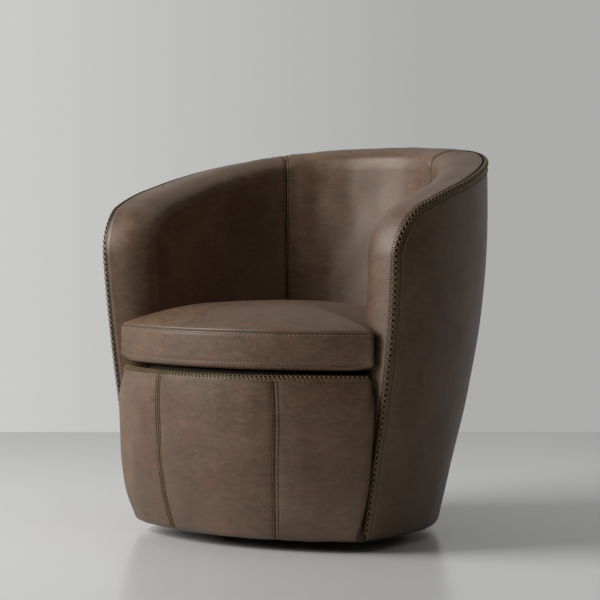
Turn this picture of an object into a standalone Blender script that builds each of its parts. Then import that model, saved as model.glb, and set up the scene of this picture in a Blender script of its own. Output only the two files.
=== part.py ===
"""Leather swivel club chair, in metres, +Z up, front towards -Y.

The origin is on the floor, on the swivel axis, under the middle of the chair. A recessed
base disc stands on the floor and carries a ball-bearing swivel plate. Everything above it
turns as one: a board, a bent plywood barrel, a sprung seat, foam and leather covers.
The seat cushion lies loose on the sprung deck.
"""
import math

import bmesh
import bpy
from mathutils import Vector

# Driving dimensions of the whole chair
chair_width = 0.787
chair_depth = 0.731
back_height = 0.815
arm_height = 0.651
floor_gap = 0.018
seat_height = 0.358

# Clearances
touch_gap = 0.0003
layer_gap = 0.0009
cut_overrun = 0.004

# Upholstery
leather = 0.003
arm_thickness = 0.105
back_thickness = 0.128
knee_radius = 0.070
edge_inset = 0.0016
bead_radius = 0.0030
bead_depth = 0.0015
seam_gap = 0.0010
foam_back_depth = 0.0075
plywood_drop = 0.030
cover_lift = 0.0025
cover_bottom = floor_gap + cover_lift

# Padded roll along the rim and down the arms' front edges
roll_crest_share = 0.46
roll_bulge = 0.007
roll_bulge_low = 0.005
roll_bulge_back = 0.003
roll_end = 0.030
roll_outer_turns = (0.0, 30.0, 60.0, 90.0)
roll_inner_turns = (32.0, 62.0, 90.0)

# Plan of the barrel: a superellipse, measured as an angle from the front
plan_power = 2.15
plan_depth_share = 1.087
arm_angle = math.radians(66.3)
panel_angle = math.radians(141.0)
half_width = chair_width / 2
half_depth = half_width * plan_depth_share
centre_y = chair_depth / 2 - half_depth

# Side profile of the barrel: widths at heights, as shares of half width and back height,
# and how far forward it leans there, as shares of the lean at the floor
wall_height_shares = (0.0, 0.18, 0.36, 0.545, 0.73, 0.88, 1.03)
wall_width_shares = (0.768, 0.841, 0.911, 0.967, 0.997, 1.0, 0.994)
wall_lean = 0.026
wall_lean_shares = (1.0, 0.72, 0.31, 0.0, 0.0, 0.0, 0.0)
rim_power = 2.25

# How many facets the barrel has
arm_columns = 8
back_columns = 8
straight_rows = 5
low_rows = 3
knee_turns = (15.0, 30.0)
knee_column_turns = (45.0, 66.0, 90.0)
knee_share = 0.90
knee_row_shares = (0.35, 0.70, 1.0)

# Sprung seat and its frame
plywood = 0.012
rail_drop = 0.058
side_brace_depth = 0.030
side_brace_length = 0.119
board_front_share = 0.60
deck_front_share = 0.72
rail_depth = 0.022
rail_height = 0.050
post_depth = 0.028
post_width = 0.034
spring_wire = 0.0019
spring_count = 5
spring_pitch = 0.058
spring_amplitude = 0.020
deck_cloth = 0.003
board_thickness = 0.018

# Swivel
disc_radius = 0.205
disc_thickness = 0.018
glide_radius = 0.018
glide_height = 0.006
glide_circle = 0.165
plate_side = 0.180
plate_thickness = 0.003
ball_radius = 0.005
ball_count = 8
ball_circle = 0.055
cage_thickness = 0.002
cage_width = 0.014
pin_radius = 0.010
pin_head_radius = 0.016
pin_head_height = 0.003
bolt_radius = 0.003
bolt_head_radius = 0.006
bolt_head_height = 0.003
bolt_length = 0.014
bolt_place = 0.076
dust_cloth = 0.001

# Seat cushion
cushion_height = 0.072
cushion_crown = 0.057
cushion_clearance = 0.0048
cushion_setback = 0.015
crown_lead = 0.100
boxing_swell = 0.0022
boxing_shares = (0.0, 0.5, 1.0)
crown_ring_shares = (1.0, 0.94, 0.80, 0.55, 0.25)
crown_power = 3.2
wing_inset = 0.021
wing_lead = 0.0165
wing_depth = 0.014
corner_radius = 0.014
tip_turns = (0.0, 60.0, 130.0)
front_facets = 5

# Apron under the seat, an upright panel bent to an arc
apron_drop = 0.008
apron_top = seat_height - apron_drop
apron_side_inset = 0.032
apron_lead = 0.006
apron_seam_half = 0.140
apron_edge_radius = 0.012
apron_pad = 0.012
apron_board_share = 0.80
apron_facets = 16
apron_middle_rows = 4
apron_edge_shares = (0.0, 0.16, 1.0)
apron_height_shares = (0.0, 0.20, 0.40, 0.60, 0.80, 0.93, 1.0)
apron_front_shares = (0.881, 0.939, 0.976, 0.989, 0.998, 1.0, 0.998)
apron_width_shares = (0.898, 0.964, 1.002, 1.021, 1.032, 1.015, 1.0)
apron_bow_shares = (0.671, 0.761, 0.858, 0.904, 0.948, 0.975, 0.985)


def clear_scene():
    """Empty the file, so that the script can be run again."""
    for item in list(bpy.data.objects):
        bpy.data.objects.remove(item, do_unlink=True)
    for group in list(bpy.data.collections):
        bpy.data.collections.remove(group)


def new_collection(name):
    group = bpy.data.collections.new(name)
    bpy.context.scene.collection.children.link(group)
    return group


def make_material(name, colour, roughness, metallic=0.0):
    material = bpy.data.materials.new(name)
    material.use_nodes = True
    shader = material.node_tree.nodes["Principled BSDF"]
    shader.inputs["Base Color"].default_value = (*colour, 1.0)
    shader.inputs["Roughness"].default_value = roughness
    shader.inputs["Metallic"].default_value = metallic
    material.diffuse_color = (*colour, 1.0)
    return material


clear_scene()
parts = new_collection("leather_swivel_club_chair")
cutters = new_collection("cutters")

hide = make_material("brown_leather", (0.115, 0.066, 0.043), 0.45)
hide_edge = make_material("lacing_thread", (0.20, 0.155, 0.07), 0.7)
foam = make_material("seat_foam", (0.74, 0.68, 0.50), 0.9)
birch = make_material("birch_plywood", (0.56, 0.40, 0.24), 0.6)
beech = make_material("beech_rail", (0.48, 0.31, 0.17), 0.6)
black_wood = make_material("blackened_wood", (0.02, 0.018, 0.016), 0.5)
steel = make_material("zinc_plated_steel", (0.55, 0.55, 0.54), 0.35, 1.0)
spring_steel = make_material("spring_steel", (0.22, 0.22, 0.23), 0.4, 1.0)
cloth = make_material("black_cambric", (0.02, 0.02, 0.02), 0.9)
felt = make_material("grey_felt", (0.10, 0.10, 0.10), 0.95)
nylon = make_material("cage_nylon", (0.70, 0.68, 0.62), 0.5)


def new_object(name, mesh, material, group=None):
    item = bpy.data.objects.new(name, mesh)
    (group or parts).objects.link(item)
    mesh.materials.clear()
    mesh.materials.append(material)
    return item


def mesh_object(name, points, faces, material, smooth=True, group=None):
    """An object from points and faces, with its faces turned the same way."""
    mesh = bpy.data.meshes.new(name)
    mesh.from_pydata([tuple(point) for point in points], [], faces)
    mesh.update()
    if smooth:
        mesh.shade_smooth()
    return new_object(name, mesh, material, group)


def as_cutter(item):
    item.hide_render = True
    item.display_type = "WIRE"


def cut(item, cutter):
    modifier = item.modifiers.new("cut_" + cutter.name, "BOOLEAN")
    modifier.operation = "DIFFERENCE"
    modifier.solver = "EXACT"
    modifier.object = cutter


def blend_shares(value, places, shares):
    """A smooth curve through a few hand-chosen shares."""
    last = len(places) - 1
    value = min(max(value, places[0]), places[last])
    slopes = []
    for index in range(last + 1):
        before, after = max(index - 1, 0), min(index + 1, last)
        slopes.append((shares[after] - shares[before]) / (places[after] - places[before]))
    index = 0
    while index < last - 1 and value > places[index + 1]:
        index += 1
    span = places[index + 1] - places[index]
    part = (value - places[index]) / span
    square, cube = part * part, part * part * part
    return (
        shares[index] * (2 * cube - 3 * square + 1)
        + slopes[index] * span * (cube - 2 * square + part)
        + shares[index + 1] * (3 * square - 2 * cube)
        + slopes[index + 1] * span * (cube - square)
    )


def ease(value):
    value = min(max(value, 0.0), 1.0)
    return value * value * (3 - 2 * value)


# The barrel wall, as a surface over angle and height
girth = half_depth


def rim_height(angle):
    """Height of the rim's seam, low at the arms and high at the back."""
    turned = math.pi - abs(math.pi - angle)
    part = min(max((turned - arm_angle) / (math.pi - arm_angle), 0.0), 1.0)
    return arm_height + (back_height - arm_height) * (1 - (1 - part) ** rim_power)


def knee_station(lean):
    """A place round the arm's knee, with the way in from the edge."""
    angle = arm_angle + knee_radius * (1 - math.cos(lean)) / girth
    height = arm_height - knee_radius + knee_radius * math.sin(lean)
    height += (rim_height(angle) - arm_height) * math.sin(lean)
    return (angle, height, math.cos(lean), -math.sin(lean))


knee_columns = [knee_station(math.radians(turn))[0] for turn in knee_column_turns]
arm_step = (panel_angle - knee_columns[-1]) / arm_columns
back_step = 2 * (math.pi - panel_angle) / back_columns
right_columns = knee_columns + [knee_columns[-1] + arm_step * (index + 1) for index in range(arm_columns)]
columns = (
    right_columns
    + [panel_angle + back_step * (index + 1) for index in range(back_columns - 1)]
    + [2 * math.pi - angle for angle in reversed(right_columns)]
)
facet_angles = [arm_angle] + columns + [2 * math.pi - arm_angle]
row_shares = [knee_share * index / straight_rows for index in range(straight_rows + 1)]
row_shares += [knee_share + (1 - knee_share) * part for part in knee_row_shares]


def plan_point(angle, height, depth):
    """A point of the barrel's plan, moved in from the outer face by a depth."""
    level = height / back_height
    wide = half_width * blend_shares(level, wall_height_shares, wall_width_shares)
    deep = wide * plan_depth_share
    forward = wall_lean * blend_shares(level, wall_height_shares, wall_lean_shares)
    sine, cosine = math.sin(angle), math.cos(angle)
    x_share = math.copysign(abs(sine) ** (2 / plan_power), sine)
    y_share = -math.copysign(abs(cosine) ** (2 / plan_power), cosine)
    normal = Vector((
        math.copysign(abs(x_share) ** (plan_power - 1), x_share) / wide,
        math.copysign(abs(y_share) ** (plan_power - 1), y_share) / deep,
    )).normalized()
    flat = Vector((wide * x_share, deep * y_share)) - normal * depth
    return Vector((flat.x, flat.y + centre_y - forward, height))


def facet_column(angle, height, depth):
    """A point on one upright line of facets of the barrel."""
    top = rim_height(angle)
    levels = [floor_gap + (top - floor_gap) * share for share in row_shares]
    index = 0
    while index < len(levels) - 2 and height > levels[index + 1]:
        index += 1
    part = (height - levels[index]) / (levels[index + 1] - levels[index])
    return plan_point(angle, levels[index], depth).lerp(plan_point(angle, levels[index + 1], depth), part)


def wall_point(angle, height, depth):
    """A point on the barrel's facets, so that its layers never cross."""
    index = 0
    while index < len(facet_angles) - 2 and angle > facet_angles[index + 1]:
        index += 1
    start, end = facet_angles[index], facet_angles[index + 1]
    part = (angle - start) / (end - start)
    return facet_column(start, height, depth).lerp(facet_column(end, height, depth), part)


def wall_thickness(angle, height):
    """Padding is even at the arms and thicker low on the back."""
    turned = math.pi - abs(math.pi - angle)
    behind = ease((turned - math.pi / 2) / (math.pi / 2))
    low = 1 - ease((height - seat_height) / (rim_height(angle) - seat_height))
    return arm_thickness + (back_thickness - arm_thickness) * behind * low


def no_thickness(angle, height):
    return 0.0


edge_lap = leather + touch_gap
bead_reach = bead_radius + layer_gap
outer_edge = bead_reach + bead_radius + layer_gap


def roll_section(height):
    """Depth and reach of the padded roll, from its seam over the crest to the wall."""
    bulge = roll_bulge_low + (roll_bulge - roll_bulge_low) * ease(
        (height - apron_top) / (arm_height - apron_top - knee_radius)
    )
    bulge += (roll_bulge_back - roll_bulge) * ease((height - arm_height + knee_radius) / (2 * knee_radius))
    crest = arm_thickness * roll_crest_share
    start = -edge_lap
    section = []
    for turn in roll_outer_turns:
        lean = math.radians(turn)
        depth = crest - (crest - edge_inset) * math.cos(lean)
        section.append((depth, start - bulge * math.sin(lean)))
    for turn in roll_inner_turns:
        lean = math.radians(turn)
        depth = crest + (arm_thickness - crest) * math.sin(lean)
        section.append((depth, start - bulge + (roll_end - start + bulge) * (1 - math.cos(lean))))
    return section


def edge_stations(bottom, grid_bottom):
    """Places up the arm's front edge and into its knee, with the way in from each."""
    corner = arm_height - knee_radius
    heights = []
    if grid_bottom > bottom:
        heights += [bottom + (grid_bottom - bottom) * index / low_rows for index in range(low_rows)]
    heights += [
        grid_bottom + (corner - grid_bottom) * index / straight_rows
        for index in range(straight_rows + 1)
    ]
    stations = [(arm_angle, height, 1.0, 0.0) for height in heights]
    return stations + [knee_station(math.radians(turn)) for turn in knee_turns]


def rim_station(angle):
    """A place on the rim, with the way in from it."""
    turned = math.pi - abs(math.pi - angle)
    side = 1.0 if angle < math.pi else -1.0
    reach = (turned - arm_angle) * girth
    if reach >= knee_radius:
        return (angle, rim_height(angle), 0.0, -1.0)
    place = knee_station(math.acos(1 - reach / knee_radius))
    return (angle, place[1], side * place[2], place[3])


def edge_girth(height):
    """Length of the barrel's plan per radian, beside an arm's front edge."""
    step = knee_radius / girth
    return (plan_point(arm_angle + step, height, 0.0) - plan_point(arm_angle, height, 0.0)).length / step


def station_point(station, depth, reach):
    """Angle, height and depth of a point that lies in from the edge by a reach."""
    angle, height, along, up = station
    return (angle + reach * along / edge_girth(height), height + reach * up, depth)


def triangles(faces, mirrored=False):
    """Four-sided faces split in two, so that stacked layers bend along the same lines."""
    if mirrored:
        faces = [face[1:] + face[:1] for face in faces]
    split = []
    for face in faces:
        split += [(face[0], face[1], face[2]), (face[0], face[2], face[3])]
    return split


def wall_sheet(first, last, section_of, depth_of, bottom, grid_bottom):
    """Points and faces of a sheet on the barrel between two columns.

    The section gives the rows that follow the edge, up the arm's front and along the rim.
    The rest is a plain grid of columns under the last of those rows.
    """
    front_start = first == 0
    front_end = last == len(columns) - 1
    angles = columns[first:last + 1]
    if not front_start:
        angles[0] += seam_gap / 2 / girth
    if not front_end:
        angles[-1] -= seam_gap / 2 / girth
    stations = []
    if front_start:
        stations += edge_stations(bottom, grid_bottom)
    start_count = len(stations)
    stations += [rim_station(angle) for angle in angles]
    if front_end:
        for angle, height, along, up in reversed(edge_stations(bottom, grid_bottom)):
            stations.append((2 * math.pi - angle, height, -along, up))
    places, faces = [], []
    strip = []
    for station in stations:
        row = []
        for depth, reach in section_of(station[1]):
            row.append(len(places))
            places.append(station_point(station, depth, reach))
        strip.append(row)
    for left, right in zip(strip, strip[1:]):
        mirrored = places[left[0]][0] + places[right[0]][0] > 2 * math.pi
        for index in range(len(left) - 1):
            face = (left[index], left[index + 1], right[index + 1], right[index])
            faces += triangles([face], mirrored)
    rows = straight_rows + len(knee_turns) + 1
    count = last - first + 1
    grid = [[None] * (rows + 1) for _ in range(count)]
    for index in range(count):
        grid[index][rows] = strip[start_count + index][-1]
    if front_start:
        for row in range(rows):
            grid[0][row] = strip[start_count - rows + row][-1]
    if front_end:
        for row in range(rows):
            grid[-1][row] = strip[start_count + count - 1 + rows - row][-1]
    for index in range(count):
        top = places[grid[index][rows]]
        slanted = (front_start and index == 1) or (front_end and index == count - 2)
        for row in range(rows):
            if grid[index][row] is not None:
                continue
            angle = angles[index]
            height = grid_bottom + (top[1] - grid_bottom) * row_shares[row]
            if slanted:
                near_start = front_start and index == 1
                edge = places[grid[0 if near_start else -1][row]]
                inner = angles[index + (1 if near_start else -1)]
                angle = (edge[0] + inner) / 2
                height = (height + edge[1]) / 2
            grid[index][row] = len(places)
            places.append((angle, height, depth_of(angle, height)))
    for left, right in zip(grid, grid[1:]):
        mirrored = places[left[0]][0] + places[right[0]][0] > 2 * math.pi
        for row in range(rows):
            face = (left[row], right[row], right[row + 1], left[row + 1])
            faces += triangles([face], mirrored)
    points = [wall_point(angle, height, depth) for angle, height, depth in places]
    return points, faces


def turned_sheet(points, faces, inward):
    """Faces of an open wall sheet, all turned to one side, and its normals."""
    mesh = bmesh.new()
    corners = [mesh.verts.new(point) for point in points]
    for face in faces:
        mesh.faces.new([corners[index] for index in face])
    mesh.verts.index_update()
    bmesh.ops.recalc_face_normals(mesh, faces=mesh.faces)
    mesh.faces.ensure_lookup_table()
    last = mesh.faces[-1]
    middle = last.calc_center_median()
    radial = Vector((middle.x, middle.y - centre_y, 0.0))
    if (last.normal.dot(radial) > 0) == inward:
        bmesh.ops.reverse_faces(mesh, faces=mesh.faces)
    mesh.normal_update()
    turned = [tuple(vertex.index for vertex in face.verts) for face in mesh.faces]
    normals = [vertex.normal.copy() for vertex in mesh.verts]
    mesh.free()
    return turned, normals


def border_pairs(faces):
    """Edges that only one face has, in the direction in which that face runs."""
    seen = set()
    for face in faces:
        seen.update(zip(face, face[1:] + face[:1]))
    return [pair for pair in sorted(seen) if (pair[1], pair[0]) not in seen]


def face_outward(item):
    mesh = bmesh.new()
    mesh.from_mesh(item.data)
    bmesh.ops.recalc_face_normals(mesh, faces=mesh.faces)
    if mesh.calc_volume(signed=True) < 0:
        bmesh.ops.reverse_faces(mesh, faces=mesh.faces)
    mesh.to_mesh(item.data)
    mesh.free()


def closed_between(name, front, back, faces, material):
    """A solid between two sheets that have the same faces."""
    count = len(front)
    solid_faces = [tuple(face) for face in faces]
    solid_faces += [tuple(index + count for index in reversed(face)) for face in faces]
    for start, end in border_pairs(faces):
        solid_faces.append((end, start, start + count, end + count))
    item = mesh_object(name, front + back, solid_faces, material)
    face_outward(item)
    return item


def moved(points, normals, distance):
    return [point + normal * distance for point, normal in zip(points, normals)]


def leather_shell(name, points, faces):
    """A leather cover: an open sheet with its thickness on the inner side."""
    item = mesh_object(name, points, faces, hide)
    solid = item.modifiers.new("leather", "SOLIDIFY")
    solid.thickness = leather
    solid.offset = -1.0
    return item


def wall_block(name, first, last, depths, heights, material, spread=0.0):
    """A solid that follows the barrel's wall between two columns."""
    faces, front, back = [], [], []
    angles = columns[first:last + 1]
    levels = len(heights(angles[0]))
    angles[0] -= spread / girth
    angles[-1] += spread / girth
    for angle in angles:
        for height in heights(angle):
            front.append(wall_point(angle, height, depths[0]))
            back.append(wall_point(angle, height, depths[1]))
    for column in range(last - first):
        mirrored = angles[column] + angles[column + 1] > 2 * math.pi
        for row in range(levels - 1):
            corner = column * levels + row
            face = (corner, corner + levels, corner + levels + 1, corner + 1)
            faces += triangles([face], mirrored)
    return closed_between(name, front, back, faces, material)


def box(name, low, high, material, group=None):
    """A block between two corners."""
    mesh = bpy.data.meshes.new(name)
    shape = bmesh.new()
    bmesh.ops.create_cube(shape, size=1.0)
    size = Vector(high) - Vector(low)
    bmesh.ops.scale(shape, vec=size, verts=shape.verts)
    shape.to_mesh(mesh)
    shape.free()
    item = new_object(name, mesh, material, group)
    item.location = (Vector(high) + Vector(low)) / 2
    return item


def disc(name, radius, low, high, material, sides=32, place=(0.0, 0.0), group=None):
    """An upright cylinder between two heights."""
    mesh = bpy.data.meshes.new(name)
    shape = bmesh.new()
    bmesh.ops.create_cone(
        shape, cap_ends=True, segments=sides, radius1=radius, radius2=radius, depth=high - low
    )
    shape.to_mesh(mesh)
    shape.free()
    item = new_object(name, mesh, material, group)
    item.location = (place[0], place[1], (low + high) / 2)
    return item


def hole(item, radius, low, high, sides=24, place=(0.0, 0.0)):
    """An upright round hole right through a piece."""
    name = "hole_" + item.name + "_" + str(len(item.modifiers))
    cutter = disc(name, radius, low - cut_overrun, high + cut_overrun, steel, sides, place, cutters)
    as_cutter(cutter)
    cut(item, cutter)


def slab(name, outline, low, high, material):
    """A flat board with a drawn outline."""
    curve = bpy.data.curves.new(name, "CURVE")
    curve.dimensions = "2D"
    curve.fill_mode = "BOTH"
    curve.extrude = (high - low) / 2
    spline = curve.splines.new("POLY")
    spline.points.add(len(outline) - 1)
    for point, (x, y) in zip(spline.points, outline):
        point.co = (x, y, 0.0, 1.0)
    spline.use_cyclic_u = True
    drawn = bpy.data.objects.new(name, curve)
    parts.objects.link(drawn)
    mesh = bpy.data.meshes.new_from_object(drawn.evaluated_get(bpy.context.evaluated_depsgraph_get()))
    bpy.data.objects.remove(drawn, do_unlink=True)
    shape = bmesh.new()
    shape.from_mesh(mesh)
    bmesh.ops.remove_doubles(shape, verts=shape.verts, dist=touch_gap / 3)
    bmesh.ops.recalc_face_normals(shape, faces=shape.faces)
    shape.to_mesh(mesh)
    shape.free()
    item = new_object(name, mesh, material)
    item.location.z = (low + high) / 2
    return item


def tube(name, points, radius, material, resolution=1):
    """A round wire or bead along a run of points."""
    curve = bpy.data.curves.new(name, "CURVE")
    curve.dimensions = "3D"
    curve.bevel_depth = radius
    curve.bevel_resolution = resolution
    curve.use_fill_caps = True
    spline = curve.splines.new("POLY")
    spline.points.add(len(points) - 1)
    for point, place in zip(spline.points, points):
        point.co = (*place, 1.0)
    item = bpy.data.objects.new(name, curve)
    parts.objects.link(item)
    curve.materials.append(material)
    return item


# Levels, from the floor up
disc_low = glide_height + touch_gap
disc_high = disc_low + disc_thickness
lower_plate_low = disc_high + touch_gap
lower_plate_high = lower_plate_low + plate_thickness
upper_plate_low = lower_plate_high + 2 * ball_radius + 2 * touch_gap
upper_plate_high = upper_plate_low + plate_thickness
board_low = upper_plate_high + touch_gap
board_high = board_low + board_thickness
cloth_high = seat_height - touch_gap
cloth_low = cloth_high - deck_cloth
rail_high = seat_height - rail_drop
rail_low = rail_high - rail_height
deck_low = rail_high + 2 * spring_wire + 2 * touch_gap
pad_low = deck_low + layer_gap
pad_high = cloth_low - touch_gap
last_column = len(columns) - 1
panel_index = len(right_columns) - 1
back_index = last_column - panel_index
plywood_out = leather + layer_gap
plywood_in = plywood_out + plywood
first_bent = len(knee_columns) - 1
side_wall = wall_point(math.pi / 2, rail_low, plywood_in + layer_gap)
side_rail_x = side_wall.x - touch_gap - side_brace_length - rail_depth


def make_swivel():
    """The base: felt glides, a disc, and a plate with a ring of balls and a rivet."""
    for index in range(4):
        turn = math.pi / 4 + index * math.pi / 2
        place = (glide_circle * math.cos(turn), glide_circle * math.sin(turn))
        disc("floor_glide_" + str(index + 1), glide_radius, 0.0, glide_height, felt, 16, place)
    base = disc("base_disc", disc_radius, disc_low, disc_high, black_wood, 40)
    edge = base.modifiers.new("edge", "BEVEL")
    edge.width = disc_thickness / 6
    edge.segments = 1
    half = plate_side / 2
    low, high = (-half, -half, lower_plate_low), (half, half, lower_plate_high)
    lower = box("swivel_lower_plate", low, high, steel)
    low, high = (-half, -half, upper_plate_low), (half, half, upper_plate_high)
    upper = box("swivel_upper_plate", low, high, steel)
    hole(upper, pin_radius + touch_gap, upper_plate_low, upper_plate_high)
    for index in range(4):
        sides = ((1, 1), (-1, 1), (-1, -1), (1, -1))[index]
        place = (sides[0] * bolt_place, sides[1] * bolt_place)
        shank = bolt_radius + touch_gap
        hole(lower, shank, lower_plate_low, lower_plate_high, 8, place)
        hole(base, shank, disc_high - bolt_length, disc_high, 8, place)
        hole(upper, shank, upper_plate_low, upper_plate_high, 8, place)
        make_bolt("lower_bolt_" + str(index + 1), place, lower_plate_high, 1)
        make_bolt("upper_bolt_" + str(index + 1), place, upper_plate_low, -1)
    profile = [
        (pin_head_radius, upper_plate_high + touch_gap + pin_head_height),
        (pin_head_radius, upper_plate_high + touch_gap),
        (pin_radius, upper_plate_high + touch_gap),
        (pin_radius, lower_plate_high + touch_gap),
    ]
    turned("swivel_pin", profile, steel)
    make_cage()


def turned(name, profile, material, steps=24):
    """A turned solid, from a profile that runs down its outer side."""
    mesh = bpy.data.meshes.new(name)
    points = [(0.0, 0.0, profile[0][1])] + [(radius, 0.0, z) for radius, z in profile]
    points.append((0.0, 0.0, profile[-1][1]))
    mesh.from_pydata(points, [(index, index + 1) for index in range(len(points) - 1)], [])
    item = new_object(name, mesh, material)
    spin = item.modifiers.new("turn", "SCREW")
    spin.steps = steps
    spin.render_steps = steps
    spin.use_merge_vertices = True
    spin.merge_threshold = touch_gap / 10
    return item


def make_bolt(name, place, face, way):
    """A pan-head bolt whose head sits on a plate face and whose shank goes the other way."""
    head = face + way * touch_gap
    profile = [
        (bolt_head_radius, head + way * bolt_head_height),
        (bolt_head_radius, head),
        (bolt_radius, head),
        (bolt_radius, head - way * bolt_length),
    ]
    if way < 0:
        profile.reverse()
    item = turned(name, profile, steel, 8)
    item.location = (place[0], place[1], 0.0)
    return item


def make_cage():
    """The ball race: a thin ring joined to its balls."""
    middle = (lower_plate_high + upper_plate_low) / 2
    ring = disc(
        "ball_cage", ball_circle + cage_width / 2, middle - cage_thickness / 2,
        middle + cage_thickness / 2, nylon, 36,
    )
    hole(ring, ball_circle - cage_width / 2, middle - cage_thickness, middle + cage_thickness, 36)
    for index in range(ball_count):
        turn = 2 * math.pi * index / ball_count
        mesh = bpy.data.meshes.new("ball")
        shape = bmesh.new()
        bmesh.ops.create_uvsphere(shape, u_segments=6, v_segments=4, radius=ball_radius)
        shape.to_mesh(mesh)
        shape.free()
        ball = new_object("ball_" + str(index + 1), mesh, steel, cutters)
        ball.location = (ball_circle * math.cos(turn), ball_circle * math.sin(turn), middle)
        as_cutter(ball)
        join = ring.modifiers.new("join_" + ball.name, "BOOLEAN")
        join.operation = "UNION"
        join.solver = "EXACT"
        join.object = ball


def plywood_levels(angle):
    top = rim_height(angle)
    levels = [cover_bottom + layer_gap]
    levels += [floor_gap + (top - floor_gap) * share for share in row_shares[1:straight_rows + 1]]
    return levels + [top - plywood_drop]


def make_barrel():
    """The bent plywood shell and the timber that stands in each arm."""
    wall_block(
        "barrel_shell", first_bent, last_column - first_bent, (plywood_out, plywood_in),
        plywood_levels, birch,
    )
    cutter = wall_block(
        "barrel_shell_space", first_bent, last_column - first_bent,
        (plywood_out - touch_gap, plywood_in + touch_gap),
        lambda angle: widened(plywood_levels(angle)), birch, touch_gap,
    )
    post_first = first_bent
    spaces = [cutter]
    for side, (first, last) in (
        ("right", (post_first, post_first + 1)),
        ("left", (last_column - post_first - 1, last_column - post_first)),
    ):
        wall_block("arm_post_" + side, first, last, post_depths(), post_levels, beech)
        space = wall_block(
            "arm_post_space_" + side, first, last, post_space(), post_space_levels, beech, touch_gap,
        )
        spaces.append(space)
    for space in spaces:
        parts.objects.unlink(space)
        cutters.objects.link(space)
        as_cutter(space)
    return spaces


def widened(levels):
    return [levels[0] - cut_overrun] + levels[1:-1] + [levels[-1] + touch_gap]


def post_depths():
    return (plywood_in + 2 * touch_gap, plywood_in + 2 * touch_gap + post_depth)


def post_space():
    return (plywood_in - touch_gap, plywood_in + 3 * touch_gap + post_depth)


def post_levels(angle):
    top = arm_height - knee_radius - post_width
    low = board_high + touch_gap
    shares = [share for share in row_shares if share < knee_share]
    reach = rim_height(angle) - floor_gap
    return [low] + [floor_gap + reach * share for share in shares[1:]] + [top]


def post_space_levels(angle):
    levels = post_levels(angle)
    return [levels[0] - cut_overrun] + levels[1:-1] + [levels[-1] + touch_gap]


def outer_section(height):
    """The outer covers have no roll: they start just under the bead."""
    return [(0.0, outer_edge)]


def foam_section(height):
    """Rows of the foam's hidden face, as many as the roll has."""
    count = len(roll_outer_turns) + len(roll_inner_turns)
    start = bead_reach / 2
    return [(foam_back_depth, start + (roll_end - start) * row / (count - 1)) for row in range(count)]


def make_covers():
    """Three leather panels outside and three inside, and the laced bead between them."""
    spans = (
        ("right", 0, panel_index),
        ("back", panel_index, back_index),
        ("left", back_index, last_column),
    )
    for side, first, last in spans:
        points, faces = wall_sheet(first, last, outer_section, no_thickness, cover_bottom, cover_bottom)
        leather_shell("outer_cover_" + side, points, turned_sheet(points, faces, False)[0])
        points, faces = wall_sheet(first, last, roll_section, wall_thickness, cover_bottom, pad_low)
        leather_shell("inner_cover_" + side, points, turned_sheet(points, faces, True)[0])
    stations = edge_stations(cover_bottom, pad_low)
    run = stations + [rim_station(angle) for angle in columns]
    run += [
        (2 * math.pi - angle, height, -along, up)
        for angle, height, along, up in reversed(stations)
    ]
    run = [wall_point(*station_point(station, bead_depth, bead_reach)) for station in run]
    tube("rim_bead", run, bead_radius, hide_edge)


def make_foam(spaces):
    """One wrap of foam over the shell's inside, its rim and the arms' front edges."""
    points, faces = wall_sheet(0, last_column, roll_section, wall_thickness, cover_bottom, pad_low)
    faces, normals = turned_sheet(points, faces, True)
    back, _ = wall_sheet(
        0, last_column, foam_section, lambda angle, height: foam_back_depth, cover_bottom, pad_low
    )
    front = moved(points, normals, -(leather + touch_gap))
    wrap = closed_between("barrel_foam", front, back, faces, foam)
    for space in spaces:
        cut(wrap, space)


# The apron stands just in front of the arms, and its middle is the chair's front
arm_front = plan_point(arm_angle, apron_top, 0.0)
apron_half_width = arm_front.x - apron_side_inset
apron_sagitta = arm_front.y - apron_lead + chair_depth / 2
apron_arc_radius = (apron_half_width ** 2 + apron_sagitta ** 2) / (2 * apron_sagitta)


def apron_front(turn, depth, height):
    """A point of the apron's arc at a height, in plan, for an angle from the front."""
    part = (height - cover_bottom) / (apron_top - cover_bottom)
    front = blend_shares(part, apron_height_shares, apron_front_shares)
    width = blend_shares(part, apron_height_shares, apron_width_shares)
    bow = blend_shares(part, apron_height_shares, apron_bow_shares)
    across = apron_arc_radius * math.sin(turn) * width
    back = apron_arc_radius * (1 - math.cos(turn)) * bow
    normal = Vector((math.sin(turn) * bow, -math.cos(turn) * width)).normalized()
    face = Vector((across, centre_y + back - (chair_depth / 2 + centre_y) * front))
    return face - normal * depth


apron_turn = math.asin(apron_half_width / apron_arc_radius)
seam_turn = math.asin(apron_seam_half / apron_arc_radius)
pad_depth = leather + touch_gap + apron_pad
board_out = pad_depth + touch_gap
board_in = board_out + plywood
rail_out = board_in + layer_gap
rail_in = rail_out + rail_depth


def apron_point(turn, height, depth):
    flat = apron_front(turn, depth, height)
    return Vector((flat.x, flat.y, height))


def edge_roll(distance):
    """How far the apron's face falls back near an edge."""
    if distance >= apron_edge_radius:
        return 0.0
    lack = apron_edge_radius - distance
    return apron_edge_radius - math.sqrt(apron_edge_radius ** 2 - lack ** 2)


def apron_rows():
    """Heights of the apron's grid, closer near its top and bottom edges."""
    low = [cover_bottom + apron_edge_radius * share for share in apron_edge_shares]
    high = [apron_top - apron_edge_radius * share for share in reversed(apron_edge_shares)]
    step = (high[0] - low[-1]) / (apron_middle_rows + 1)
    middle = [low[-1] + step * (index + 1) for index in range(apron_middle_rows)]
    return low + middle + high


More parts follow.
